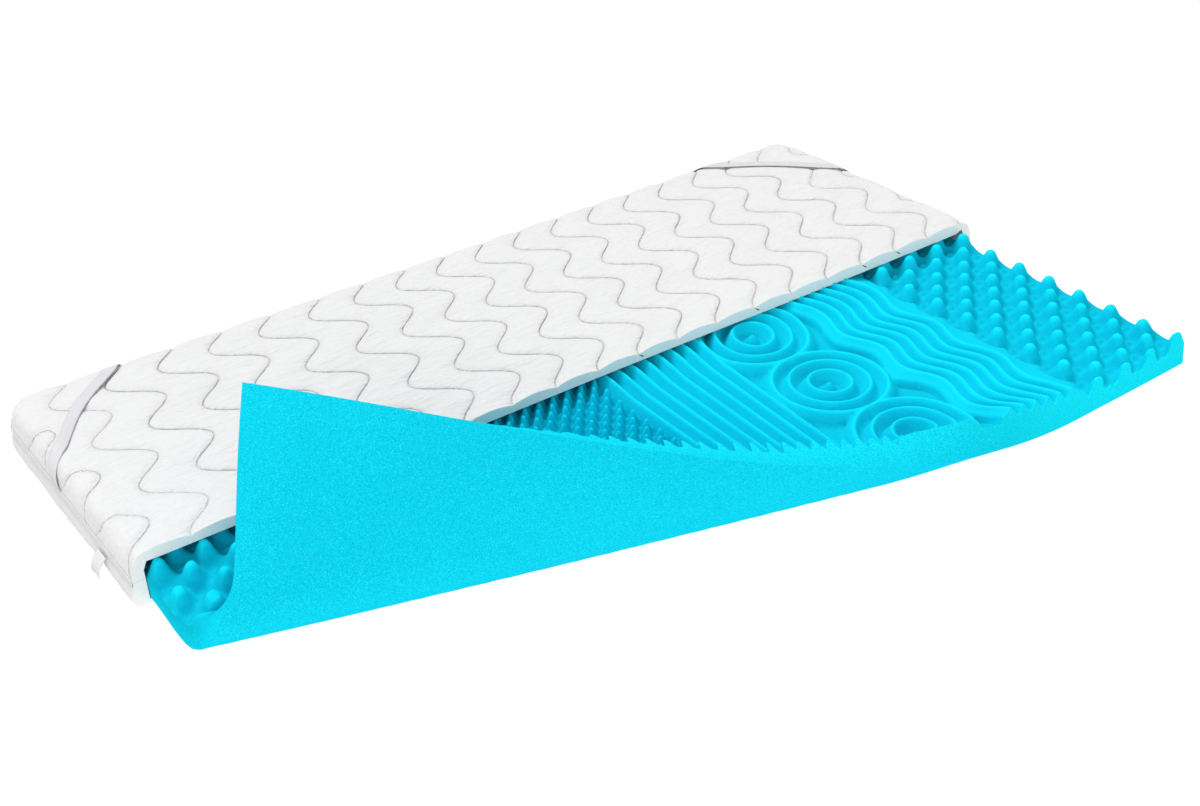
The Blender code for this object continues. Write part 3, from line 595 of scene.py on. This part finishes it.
def circle_field(u, v):
    """The rings with their knobs, and the small tooth and bar at the front cut."""
    height = np.full_like(u, FLOOR)
    for middle in CIRCLE_V:
        r = np.hypot(u - CIRCLE_U, v - middle)
        for ring in RINGS:
            power = np.where((r > ring) & (ring == RINGS[-1]), 0.75, 1.45)
            height = np.maximum(height, crest(np.abs(r - ring), RING_HALF, RING_TOP, FLOOR, power=power))
        height = np.maximum(height, crest(r, KNOB["half"], KNOB["top"], FLOOR, tip=KNOB["tip"], power=1.0))
    tooth = np.hypot(u - TOOTH["u"], 0.6 * v)
    height = np.maximum(height, crest(tooth, TOOTH["half"], TOOTH["top"], FLOOR))
    side = np.maximum(np.maximum(BAR["from"] - u, u - BAR["to"]), 0.0)
    bar = crest(np.hypot(1.6 * side, v), BAR["half"], BAR["top"], FLOOR, tip=BAR["tip"], power=0.8)
    return np.maximum(height, bar)


def wave_swing(v):
    return WAVES["swing"] * np.cos(tau * (v - WAVES["crest"]) / WAVES["period"])


def wave_edge(v):
    """The lip at which the wave field begins."""
    lip = WAVE_LIP
    return lip["u"] + wave_swing(v) - lip["dent"] * hump(v, lip["dent_v"], lip["dent_half"])


def wave_field(u, v):
    swing = wave_swing(v)
    local = u - swing
    last = WAVES["first"] + (WAVES["ridges"] - 1) * WAVES["pitch"]
    k = np.clip(np.round((local - WAVES["first"]) / WAVES["pitch"]), 0, WAVES["ridges"] - 1)
    away = np.abs(local - WAVES["first"] - k * WAVES["pitch"])
    height = crest(away, WAVES["pitch"] / 2, WAVE_TOP, WAVE_FOOT)
    foot = wave_edge(v)
    part = np.clip((u - foot) / (WAVES["first"] + swing - foot), 0.0, 1.0)
    rise = WAVE_LIP["height"] + (WAVE_TOP - WAVE_LIP["height"]) * part**1.7
    rise += WAVE_LIP["bead"] * hump(u - foot, 0.003, 0.003)
    rise = FLOOR + (rise - FLOOR) * smooth((u - foot + 0.002) / 0.0045)
    height = np.where(local < WAVES["first"], np.maximum(rise, np.where(part > 0.7, height, 0.0)), height)
    way = np.clip((u - last - swing) / (WAVE_END["u"] - last - swing), 0.0, 1.0)
    return np.where(local > last, WAVE_TOP - WAVE_END["drop"] * way**0.8, height)


def past(u, zone, side=1.0):
    """From 0 to 1 across the zone's right border, or from 1 to 0 with side -1."""
    border, width = BORDERS[zone]
    return smooth(side * (u - border) / width)


def core_height(u, v):
    """Height of the carved foam at each point of the flat pattern."""
    middle = np.maximum(circle_field(u, v), wave_field(u, v))
    floor = past(u, "straight")
    middle = np.maximum(straight_field(u, v) * (1 - floor) + FLOOR * floor, middle)
    height = pin_field(u, v)
    height += (middle - height) * past(u, "pins")
    height += (peak_field(u, v, RIGHT_PEAKS) - height) * past(u, "waves")
    height += (left_ridge_field(u) - height) * past(u, "left ridges", -1.0)
    height += (peak_field(u, v, LEFT_PEAKS) - height) * past(u, "left peaks", -1.0)
    return height


def painted_relief_shade(u, v, height):
    """Painted light of the carving: a painted highlight above 0 on crests and the front cut, painted shade
    below 0 in grooves.
    """
    left, right = u < 0.370, u > 1.672
    edge, high = ramp(height, 0.0665, 0.0045), ramp(height, 0.0640, 0.0060)
    low, hollow = ramp(0.0560, height, 0.0100), ramp(0.0560, height, 0.0130)
    # Painted highlight on the crests and painted shade low down in the grooves, a little darker overall
    ridges = np.where(u < 1.40, 0.74 * edge - 0.62 * low - 0.34, 0.70 * edge - 0.60 * low - 0.34)
    # Painted shade deep in the valleys between the pins
    pins = 0.1 * high - 0.9 * low
    # Painted shade in the valleys between the peaks, darker overall on the left peaks
    peaks = -0.28 + 0.70 * high - (0.68 - 28.0 * np.clip(height - VALLEY, 0.0, 0.012)) * hollow - 0.40 * left
    shade = np.where(left | right, peaks, np.where((u > 0.595) & (u < 0.955), pins, ridges))
    # Painted highlight on the front cut face, giving way to the carving's painted shade within a few
    # millimetres
    rim = 0.80 * ramp(u, 0.45, 0.30)
    return rim + (shade - rim) * ramp(v, 0.0005, 0.004)


def bend(along):
    """Radius, whole turn, curve after it and extra reach of the fold at each place along its line."""
    near = np.clip(along, *ALONG_ENDS)
    late = ramp(along, TAIL["from"], TAIL["over"])
    fade = ramp(TAIL["end"], along, TAIL["fade"])
    radius = RADIUS[0] + RADIUS[1] * near + RADIUS[2] * near**2 + TAIL["radius"] * late
    whole = (TURN[0] + TURN[1] * near + TURN[2] * near**2) * fade
    after = (AFTER["curve"][0] + AFTER["curve"][1] * near) * ramp(AFTER["end"], along, AFTER["fade"])
    return radius, whole, after, TAIL["more"] * late * fade


def roll(along, reach):
    """How far ahead, how high and at what turn the neutral layer is after this reach past the fold's line."""
    radius, whole, after, _ = bend(along)
    ds = reach / ROLL_STEPS
    ahead, rise, turn = np.zeros_like(reach), np.zeros_like(reach), np.zeros_like(reach)
    for k in range(ROLL_STEPS):
        s = (k + 0.5) * ds
        inside = 1.0 / (1.0 + np.exp(np.clip((s - whole * radius - ROLL_END[0]) / ROLL_END[1], -50, 50)))
        curve = inside * np.clip(s / ROLL_START, 0.0, 1.0) / radius + after * (1.0 - inside)
        middle = turn + 0.5 * curve * ds
        ahead += np.cos(middle) * ds
        rise += np.sin(middle) * ds
        turn += curve * ds
    return ahead, rise, turn


def room(along, reach):
    """The greatest height that fits inside the fold."""
    radius, turn, _, _ = bend(along)
    outside = np.maximum(np.maximum(-reach, reach - turn * radius - 0.02), 0.0)
    free = NEUTRAL + 0.95 * radius + 0.85 * np.tan((pi - turn) / 2) * outside
    return np.where(turn < 0.5, 1.0, free)


def place_core(u, v, h):
    """From the flat pattern to the foam as it lies, with its corner curled back."""
    corner = FRONT_RIGHT
    lean = hump(v, 0.0, corner["lean_reach"]) * ramp(u, *corner["along"])
    u = u + (corner["foot_out"] - corner["top_in"] * np.clip(h / PEAK_TOP, 0.0, 1.0)) * lean
    du, dv = u - CORE_LEFT, v - FOLD_V
    along = du * cos(FOLD_ANGLE) - dv * sin(FOLD_ANGLE)
    more = bend(along)[3]
    reach = more - du * sin(FOLD_ANGLE) - dv * cos(FOLD_ANGLE)
    h = np.where(h > NEUTRAL, np.minimum(h, room(along, reach)), h)
    lift = (PANEL + GAP) * ramp(v, *COVER_LIFT)
    bow = FRONT_BOW["depth"] * hump(u, FRONT_BOW["middle"], FRONT_BOW["half"])
    bow = bow * np.clip(1.0 - v / FRONT_BOW["reach"], 0.0, 1.0)
    flat = np.stack([u, v - bow, h + lift], axis=1)
    ahead, rise, turn = roll(along, np.maximum(reach, 1e-9))
    off = h - NEUTRAL
    step = ahead - np.sin(turn) * off - more
    shift = SQUEEZE["shift"] * smooth(reach / SQUEEZE["reach"])
    shift += SQUEEZE["back"] * ramp(reach, SQUEEZE["reach"], SQUEEZE["tail"])
    slide = along + shift * np.exp(-np.maximum(along, 0.0) / SQUEEZE["fade"])
    x = CORE_LEFT + slide * cos(FOLD_ANGLE) - step * sin(FOLD_ANGLE)
    y = FOLD_V - bow - slide * sin(FOLD_ANGLE) - step * cos(FOLD_ANGLE)
    curled = np.stack([x, y, rise + np.cos(turn) * off + NEUTRAL], axis=1)
    return np.where((reach > 0.0)[:, None], curled, flat)


def column_place(column, v):
    """Columns of points, leaned so that they follow the straight ridges."""
    last = ridge_line(v, 7) - BLOCK[0]
    first = ridge_line(v, 0) - RIDGE_FIRST
    before = first * (column - LEAN_IN["from"]) / LEAN_IN["over"]
    within = first + (last - first) * (column - RIDGE_FIRST) / (BLOCK[0] - RIDGE_FIRST)
    after = last * (LEAN_OUT - column) / (LEAN_OUT - BLOCK[0])
    shift = np.where(column < RIDGE_FIRST, before, np.where(column < BLOCK[0], within, after))
    return column + np.where((column > LEAN_IN["from"]) & (column < LEAN_OUT), shift, 0.0)


def circle(middle, radius, count):
    turns = np.linspace(0.0, tau, count, endpoint=False)
    return CIRCLE_U + radius * np.cos(turns), middle + radius * np.sin(turns)


def relief_lines():
    """Points along the rings, waves and edges between the straight ridges and the right hand peaks."""
    lines = []
    for lane in (0.0, 0.003, -0.003, 0.0065, -0.0065, 0.011, -0.011, 0.0165, -0.0165):
        for middle in CIRCLE_V:
            for ring in RINGS:
                lines.append(circle(middle, ring + lane, max(8, int((ring + lane) * tau / 0.0052))))
        v = np.arange(0.0026, RELIEF_BACK, 0.0050)
        for k in range(WAVES["ridges"]):
            lines.append((WAVES["first"] + k * WAVES["pitch"] + wave_swing(v) + lane, v))
    for middle in CIRCLE_V:
        for ring, count in ((0.0, 1), (0.004, 6), (0.0085, 10), (0.0135, 16), (0.019, 20)):
            lines.append(circle(middle, ring, count))
    for lane in (-0.0045, -0.0018, 0.0004, 0.0030, 0.0065, 0.0115):
        lines.append((wave_edge(v) + lane, v))
    for lane in (0.003, 0.0065, 0.0105, 0.015, 0.021):
        lines.append((ridge_line(v, 7) + lane, v))
    u, v = np.meshgrid(np.arange(1.15, 1.70, 0.008), np.arange(0.004, RELIEF_BACK, 0.008))
    lines.append((u.ravel(), v.ravel()))
    return np.concatenate([np.stack(line, axis=1) for line in lines])


def thinned(points, taken, gap):
    """The points in turn, without those too near an earlier one."""
    cells, kept = {}, []
    for p in taken:
        cells.setdefault((int(p[0] / gap), int(p[1] / gap)), []).append(p)
    for p in points:
        i, j = int(p[0] / gap), int(p[1] / gap)
        near = (q for a in (i - 1, i, i + 1) for b in (j - 1, j, j + 1) for q in cells.get((a, b), ()))
        if all((p[0] - q[0]) ** 2 + (p[1] - q[1]) ** 2 > gap * gap for q in near):
            cells.setdefault((i, j), []).append(p)
            kept.append(p)
    return kept


def relief_block(u, v, columns, rows, i0, i1, j1):
    """New points and faces for the grid's block between columns i0 and i1, in front of row j1."""
    loop = [i * rows for i in range(i0, i1)] + [i1 * rows + j for j in range(j1)]
    loop += [i * rows + j1 for i in range(i1, i0, -1)] + [i0 * rows + j for j in range(j1, 0, -1)]
    rim = [(u[k], v[k]) for k in loop]
    points = relief_lines()
    inside = (points[:, 0] > ridge_line(points[:, 1], 7) + 0.0024) & (points[:, 0] < BLOCK[1] - 0.0024)
    inside &= (points[:, 1] > 0.0022) & (points[:, 1] < RELIEF_BACK - 0.0022)
    kept = thinned(points[inside].tolist(), rim, 0.0021)
    verts = [Vector(p) for p in rim + kept]
    places, _, faces, origin = geometry.delaunay_2d_cdt(verts, [], [list(range(len(rim)))], 1, 1e-7)[:4]
    number, fresh = [], []
    for place, old in zip(places, origin):
        if old and min(old) < len(rim):
            number.append(loop[min(old)])
        else:
            number.append(columns * rows + len(fresh))
            fresh.append(tuple(place))
    ready = []
    for a, b, c in faces:
        p, q, r = places[a], places[b], places[c]
        ahead = (q.x - p.x) * (r.y - p.y) - (q.y - p.y) * (r.x - p.x) > 0.0
        ready.append((number[a], number[b], number[c]) if ahead else (number[a], number[c], number[b]))
    return np.array(fresh), ready


def build_core():
    columns = spaced(COLUMNS)
    under, turned = RELIEF_BACK + RELIEF_END, 1.143
    rows = [(0.0, RELIEF_BACK, ROW), (RELIEF_BACK, under, 0.005), (under, turned, 0.16)]
    rows = spaced(rows + [(turned, CORE_BACK, 0.0125)])
    u, v = [g.ravel() for g in np.meshgrid(columns, rows, indexing="ij")]
    u = column_place(u, v)
    i0, i1 = [int(np.argmin(np.abs(columns - edge))) for edge in BLOCK]
    j1 = int(np.argmin(np.abs(rows - RELIEF_BACK)))
    fresh, faces = relief_block(u, v, len(columns), len(rows), i0, i1, j1)
    grid = np.array(grid_faces(len(columns), len(rows)))
    column, row = grid[:, 0] // len(rows), grid[:, 0] % len(rows)
    faces += grid[~((column >= i0) & (column < i1) & (row < j1))].tolist()
    keep = np.append(coarse(columns, rows), np.zeros(len(fresh), bool))
    u, v = np.append(u, fresh[:, 0]), np.append(v, fresh[:, 1])
    height = core_height(u, v)
    flat = ramp(v, RELIEF_BACK, 0.008)
    inset = np.minimum(np.minimum(u - CORE_LEFT, CORE_RIGHT - u), CORE_BACK - v)
    plateau = PLATEAU_EDGE + (PLATEAU - PLATEAU_EDGE) * smooth(inset / 0.014)
    height = height + (plateau - height) * flat
    over = np.clip(v - (CORE_BACK - CORE_CORNER), 0.0, CORE_CORNER)
    inward = CORE_CORNER - np.sqrt(CORE_CORNER**2 - over**2)
    middle = (CORE_LEFT + CORE_RIGHT) / 2
    u = middle + (u - middle) * (1.0 - inward / (middle - CORE_LEFT))
    outer = place_core(u, v, height)
    inner = place_core(u[keep], v[keep], np.zeros(keep.sum()))
    calm = 1.0 - 0.5 * ramp(u, 1.25, 0.30)
    skin = (1.0 - 0.65 * ramp(v, 0.0005, 0.004)) * calm
    # Painted highlight and shade of the carving, none on the plain part, beside the amount of open grain
    relief = np.stack([painted_relief_shade(u, v, height) * (1 - flat), skin], axis=1)
    # Painted highlight along the bottom edge of the front cut face towards the right end
    foot = 0.70 * ramp(u[keep], 1.30, 0.30) * (v[keep] < 0.001)
    below = np.stack([foot, calm[keep]], axis=1)
    uv = ("relief", relief, below)
    obj = slab("foam_core", outer, inner, len(columns), len(rows), [foam_material()], uv, top=faces)
    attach(obj, "root")
    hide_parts("core")


# ---- the cover


def seam_shift(centre, b):
    lean = SEAM_LEAN[0] + SEAM_LEAN[1] * centre
    return lean * (b - SEAM_MIDDLE) + SEAM_SWING * np.sin(tau * (b - SEAM_PHASE) / SEAM_PERIOD)


def seam_number(a, b):
    """How many seams lie to the left, with the part of the way to the next."""
    number = np.full_like(a, -1.0)
    for k in range(len(SEAM_AT) - 1):
        low = SEAM_AT[k] + seam_shift(SEAM_AT[k], b)
        high = SEAM_AT[k + 1] + seam_shift(SEAM_AT[k + 1], b)
        inside = (a >= low) & (a < high)
        number = np.where(inside, k + (a - low) / (high - low), number)
    return number


def edge_reach(a, b):
    return np.maximum(np.maximum(LEFT - a, a - RIGHT), np.maximum(b - BACK, 0.0))


def at_hem(a, b):
    return smooth((edge_reach(a, b) - (REACH - 0.030)) / 0.022)


def guide(a, b, off):
    """Cloth position to space, on the inner face of the top panel or this far outside it."""
    fx, fy = np.clip(a, LEFT, RIGHT), np.minimum(b, BACK)
    ox, oy = a - fx, b - fy
    size = np.maximum(np.hypot(ox, oy), 1e-12)
    reach = np.maximum(np.abs(ox), np.abs(oy))
    flat = CORNER - EDGE
    turn = np.clip((reach - flat) / EDGE, 0.0, pi / 2)
    out = np.minimum(reach, flat) + (EDGE + off) * np.sin(turn)
    drop = EDGE * (1.0 - np.cos(turn)) + np.maximum(reach - flat - ARC, 0.0)
    z = INSIDE_TOP + off * np.cos(turn) - drop
    return np.stack([fx + ox / size * out, fy + oy / size * out, z], axis=1)


def padding(a, b):
    """Thickness of the top panel: thin at the seams, full between them, and held at the hem."""
    number = seam_number(a, b)
    part = number - np.floor(number)
    span = np.clip(np.minimum(part, 1.0 - part) * 2.0, 0.0, 1.0)
    near = np.exp(-np.maximum(b - CUT_Y, 0.0) / CUT_FADE)
    crown = np.sin(span * pi / 2) ** (0.36 + 0.24 * near)
    seam = THICK_SEAM + 0.0004 * (1.0 - near)
    padded = seam + (THICK_CROWN - 0.0015 * (1.0 - near) - seam) * crown
    hem = at_hem(a, b)
    return padded + (THICK_HEM - padded) * hem, crown * (1.0 - hem), number


def sag(a, b):
    """How far the cut edge sinks on to the foam, most towards the right end."""
    share = SAG["least"] + (1.0 - SAG["least"]) * ramp(a, SAG["from"], SAG["over"])
    near = np.exp(-np.maximum(b - CUT_Y, 0.0) / SAG["fade"])
    return SAG["depth"] * share * near * (edge_reach(a, b) < CORNER - EDGE)


def cover_columns():
    """Cloth columns that crowd round each seam."""
    low, high = CLOTH_LOW + SEAM_ENDS, CLOTH_HIGH - SEAM_ENDS
    places = set(np.arange(CLOTH_LOW, low, 0.0045)) | set(np.arange(high, CLOTH_HIGH, 0.0045)) | {CLOTH_HIGH}
    for one, two in zip(SEAM_AT, SEAM_AT[1:]):
        places |= {a for part in SEAM_PARTS if low < (a := one + part * (two - one)) < high}
    return spaced([(a, b, 1.0) for a, b in zip(sorted(places), sorted(places)[1:])])


def build_cover_top():
    columns = cover_columns()
    rows = spaced([(CUT_Y, BACK + REACH, 0.0046)])
    plain, b = [g.ravel() for g in np.meshgrid(columns, rows, indexing="ij")]
    follow = ramp(plain, CLOTH_LOW, SEAM_ENDS) * ramp(CLOTH_HIGH, plain, SEAM_ENDS)
    a = plain + seam_shift(plain, b) * follow
    thick, crown, number = padding(a, b)
    surface = guide(a, b, thick)
    soft = 0.0008 * uneven(surface, 14.0, 1) + 0.0007 * uneven(surface, 34.0, 2)
    outer = guide(a, b, thick + soft * crown)
    keep = coarse(columns, rows)
    inner = guide(plain[keep], b[keep], np.zeros(keep.sum()))
    outer[:, 2] -= SAG["outer"] * sag(a, b)
    inner[:, 2] -= sag(plain[keep], b[keep])
    paints = [quilt_material(), wadding_material()]
    uv = ("quilt", np.stack([number, b], axis=1), np.zeros((len(inner), 2)))
    obj = slab("quilted_top", outer, inner, len(columns), len(rows), paints, uv, front_paint=1)
    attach(obj, "root")
    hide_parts("cover_top")


def perimeter(side_parts, corner_parts, back_parts):
    """Stations round the kept half: centre of the fan and outward direction, left cut to right cut."""
    stations = [(LEFT, CUT_Y + (BACK - CUT_Y) * j / side_parts, 180.0) for j in range(side_parts)]
    stations += [(LEFT, BACK, 180.0 - 90.0 * j / corner_parts) for j in range(corner_parts + 1)]
    stations += [(LEFT + (RIGHT - LEFT) * i / back_parts, BACK, 90.0) for i in range(1, back_parts)]
    stations += [(RIGHT, BACK, 90.0 - 90.0 * j / corner_parts) for j in range(corner_parts + 1)]
    stations += [(RIGHT, BACK - (BACK - CUT_Y) * j / side_parts, 0.0) for j in range(1, side_parts + 1)]
    return [(x, y, cos(radians(d)), sin(radians(d))) for x, y, d in stations]


def build_cover_bottom():
    """The plain lower panel: flat under the core, its padded side rolled up to the tape."""
    outside, radius, top = CORNER + THICK_HEM, SIDE_RADIUS, SEAM_Z - GAP / 2
    section = []
    for k in range(SIDE_TURNS + 1):
        a = pi / 2 * k / SIDE_TURNS
        section.append((outside + SIDE_FULL - radius + radius * sin(a), radius * (1.0 - cos(a))))
    section += [(outside + 0.85 * SIDE_FULL, 0.028), (outside + 0.45 * SIDE_FULL, 0.036)]
    section += [(outside, SEAM_Z - 0.008), (outside - 0.0006, SEAM_Z - 0.004), (outside - 0.0012, top)]
    section += [(CORNER, top), (CORNER, PANEL)]
    size, points, faces = len(section), [], []
    for x, y, dx, dy in perimeter(80, 16, 220):
        for i, (out, z) in enumerate(section):
            if 1 < i <= SIDE_TURNS + 2:
                pull = noise.noise(Vector((x * 9.0, y * 9.0, 5.0)))
                pull += 0.6 * noise.noise(Vector((x * 31.0, y * 31.0, 1.0)))
                out += 0.0024 * pull * sin(pi * (i - 1) / (SIDE_TURNS + 3))
            points.append((x + dx * out, y + dy * out, z))
    last = len(points) - size
    for a in range(0, last, size):
        b = a + size
        faces += [(a + i, a + i + 1, b + i + 1, b + i) for i in range(size - 1)]
    faces += [range(last, -1, -size), range(size - 1, len(points), size)]
    face_paint = [0] * len(faces) + [1]
    rims = [list(range(size)), list(range(last, len(points)))]
    faces.append(rims[0][::-1] + rims[1])
    faces = [f[::-1] for f in faces]
    rims += [list(range(i, len(points), size)) for i in range(SIDE_TURNS + 5, SIDE_TURNS + 8)]
    paints = [jersey_material("plain_jersey", 0.76), wadding_material()]
    obj = add_object("plain_bottom", points, faces, paints, rims, face_paint)
    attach(obj, "root")
    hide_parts("cover_bottom")


def build_tape():
    """The narrow tape over the seam, round the kept half."""
    inner = CORNER + THICK_HEM + GAP
    section = [(inner, SEAM_Z - TAPE_HALF)]
    for k in range(9):
        a = pi * k / 8
        section.append((inner + TAPE_OUT * (0.45 + 0.55 * sin(a)), SEAM_Z - TAPE_HALF * cos(a)))
    section.append((inner, SEAM_Z + TAPE_HALF))
    size, points, faces = len(section), [], []
    for x, y, dx, dy in perimeter(70, 12, 220):
        wave = 0.0004 * noise.noise(Vector((x * 30.0, y * 30.0, 2.0)))
        points += [(x + dx * out, y + dy * out, z + wave) for out, z in section]
    last = len(points) - size
    for a in range(0, last, size):
        b = a + size
        faces += [(a + i, b + i, b + (i + 1) % size, a + (i + 1) % size) for i in range(size)]
    rims = [list(range(size)), list(range(last, len(points)))]
    faces += [rims[0], rims[1][::-1]]
    obj = add_object("seam_tape", points, faces, [tape_material()], rims)
    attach(obj, "root")
    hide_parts("edge_tape")


def build_strap(name, paint):
    """Elastic webbing from the tape on an end, over the back corner, to the tape on the back."""
    end, start_b, finish_a, bow = STRAPS[name]
    trim = TAPE_HALF + GAP + 0.0010
    side = 1.0 if end == "left" else -1.0
    first = Vector((CLOTH_LOW + trim if end == "left" else CLOTH_HIGH - trim, start_b))
    last = Vector((finish_a, BACK + REACH - trim))
    run = (last - first).normalized()
    outward = Vector((-abs(run.y) * side, abs(run.x)))
    across = [k / 8 * 2 - 1 for k in range(9)]
    steps, a, b, off, uv = 120, [], [], [], []
    for k in range(steps + 1):
        t = k / steps
        for layer in (0, 1):
            for w in across:
                wide = w * STRAP_HALF
                start = first + Vector((0.0, wide / abs(run.x)))
                finish = last - Vector((side * wide / abs(run.y), 0.0))
                p = start.lerp(finish, t) + outward * bow * sin(pi * t) ** 2
                thin = 0.15 if abs(w) > 0.99 else (0.85 if abs(w) > 0.7 else 1.0)
                a.append(p.x)
                b.append(p.y)
                off.append(STRAP_LIFT + STRAP_THICK * (0.5 + (layer - 0.5) * thin))
                uv.append((wide, t * (last - first).length))
    a, b, off = np.array(a), np.array(b), np.array(off)
    hem = at_hem(a, b)
    turned = np.exp(-(((edge_reach(a, b) - (CORNER - EDGE + ARC / 2)) / 0.020) ** 2))
    points = guide(a, b, THICK_CROWN + (THICK_HEM - THICK_CROWN) * hem + off + 0.0022 * turned)
    points = points.reshape(steps + 1, -1, 3)
    ends = np.concatenate([points[:1].repeat(5, 0), points, points[-1:].repeat(5, 0)])
    eased = sum(ends[k : k + steps + 1] for k in range(11)) / 11
    share = smooth(np.minimum(np.arange(steps + 1), steps - np.arange(steps + 1)) / 8.0)[:, None, None]
    points = (points + (eased - points) * share).reshape(-1, 3)
    wide, faces = len(across), []
    rim = list(range(wide)) + list(reversed(range(wide, 2 * wide)))
    size = len(rim)
    for k in range(steps):
        for i in range(size):
            p, q = rim[i] + k * size, rim[(i + 1) % size] + k * size
            faces.append((p, p + size, q + size, q) if side > 0 else (p, q, q + size, p + size))
    cap = [(i, i + 1, wide + i + 1, wide + i) for i in range(wide - 1)]
    shift = steps * size
    caps = cap + [tuple(i + shift for i in reversed(f)) for f in cap]
    faces += caps if side > 0 else [f[::-1] for f in caps]
    obj = add_object(name + "_webbing", points, faces, [paint], uv=("strap", uv))
    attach(obj, "root")
    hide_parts(name)


def build_label():
    """A small bare tag, folded over and caught under the tape on the left end."""
    y, half = LABEL["y"], LABEL["width"] / 2
    rows, across, points = 14, 9, []
    for layer in (0, 1):
        for k in range(rows + 1):
            t = k / rows
            out = -0.0030 - LABEL["out"] * sin(0.5 * pi * min(1.0, 1.25 * t))
            z = SEAM_Z - TAPE_HALF - 0.0015 - LABEL["drop"] * (t - 0.06 * t * t)
            for i in range(across + 1):
                w = 2.0 * i / across - 1.0
                curl = 0.0016 * w * w * t
                points.append((out - curl - layer * LABEL["thick"], y + half * w, z))
    wide = across + 1
    faces = grid_faces(rows + 1, wide, 0) + grid_faces(rows + 1, wide, (rows + 1) * wide, flip=True)
    rims = [grid_rim(rows + 1, wide), grid_rim(rows + 1, wide, (rows + 1) * wide)]
    for one, two in zip(*rims):
        faces += [(one[k], two[k], two[k + 1], one[k + 1]) for k in range(len(one) - 1)]
    obj = add_object("care_tag", points, faces, [label_material()])
    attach(obj, "root")
    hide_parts("label")


# ---- floor, light and camera


def build_stage():
    bpy.ops.mesh.primitive_plane_add(size=600.0, location=(0.0, 0.0, -0.0005))
    floor = bpy.context.object
    floor.name = "floor"
    floor.data.materials.append(floor_material())
    world = bpy.data.worlds.new("studio")
    world.use_nodes = True
    sky = world.node_tree.nodes["Background"]
    sky.inputs["Color"].default_value = (1.0, 1.0, 1.0, 1.0)
    sky.inputs["Strength"].default_value = 0.45
    bpy.context.scene.world = world
    add_light("SUN", "top", (0.08, 0.55, 1.0), 0.45, 2.42)
    add_light("SUN", "front", (-0.25, -1.0, 0.30), 0.6, 0.60)
    add_light("AREA", "fill", (-4.2, -3.0, 2.4), 2.5, 62.0)
    bpy.context.scene.view_settings.view_transform = "Standard"


def add_light(kind, name, place, spread, power):
    """A lamp that shines from this place to the middle. spread is a sun's angle or an area's side."""
    data = bpy.data.lights.new(name, kind)
    data.energy = power
    light = bpy.data.objects.new(name, data)
    if kind == "SUN":
        data.angle = spread
    else:
        data.size = spread
        light.location = place
    light.rotation_mode = "QUATERNION"
    light.rotation_quaternion = (-Vector(place)).to_track_quat("-Z", "Y")
    bpy.context.scene.collection.objects.link(light)


def build_camera():
    level = cos(ELEVATION)
    ahead = Vector((sin(AZIMUTH) * level, cos(AZIMUTH) * level, -sin(ELEVATION)))
    flat_right = ahead.cross(Vector((0.0, 0.0, 1.0))).normalized()
    flat_up = flat_right.cross(ahead)
    right = cos(TILT) * flat_right + sin(TILT) * flat_up
    up = -sin(TILT) * flat_right + cos(TILT) * flat_up
    data = bpy.data.cameras.new("camera")
    data.lens = LENS
    data.sensor_width = 36.0
    data.sensor_fit = "HORIZONTAL"
    camera = bpy.data.objects.new("camera", data)
    turn = Matrix((right, up, -ahead)).transposed().to_4x4()
    camera.matrix_world = Matrix.Translation(Vector(CAMERA_AT) + Vector(MOVE)) @ turn
    bpy.context.scene.collection.objects.link(camera)
    bpy.context.scene.camera = camera


build_camera()
build_core()
build_cover_top()
build_cover_bottom()
build_tape()
webbing = strap_material()
for strap in STRAPS:
    build_strap(strap, webbing)
build_label()
build_stage()
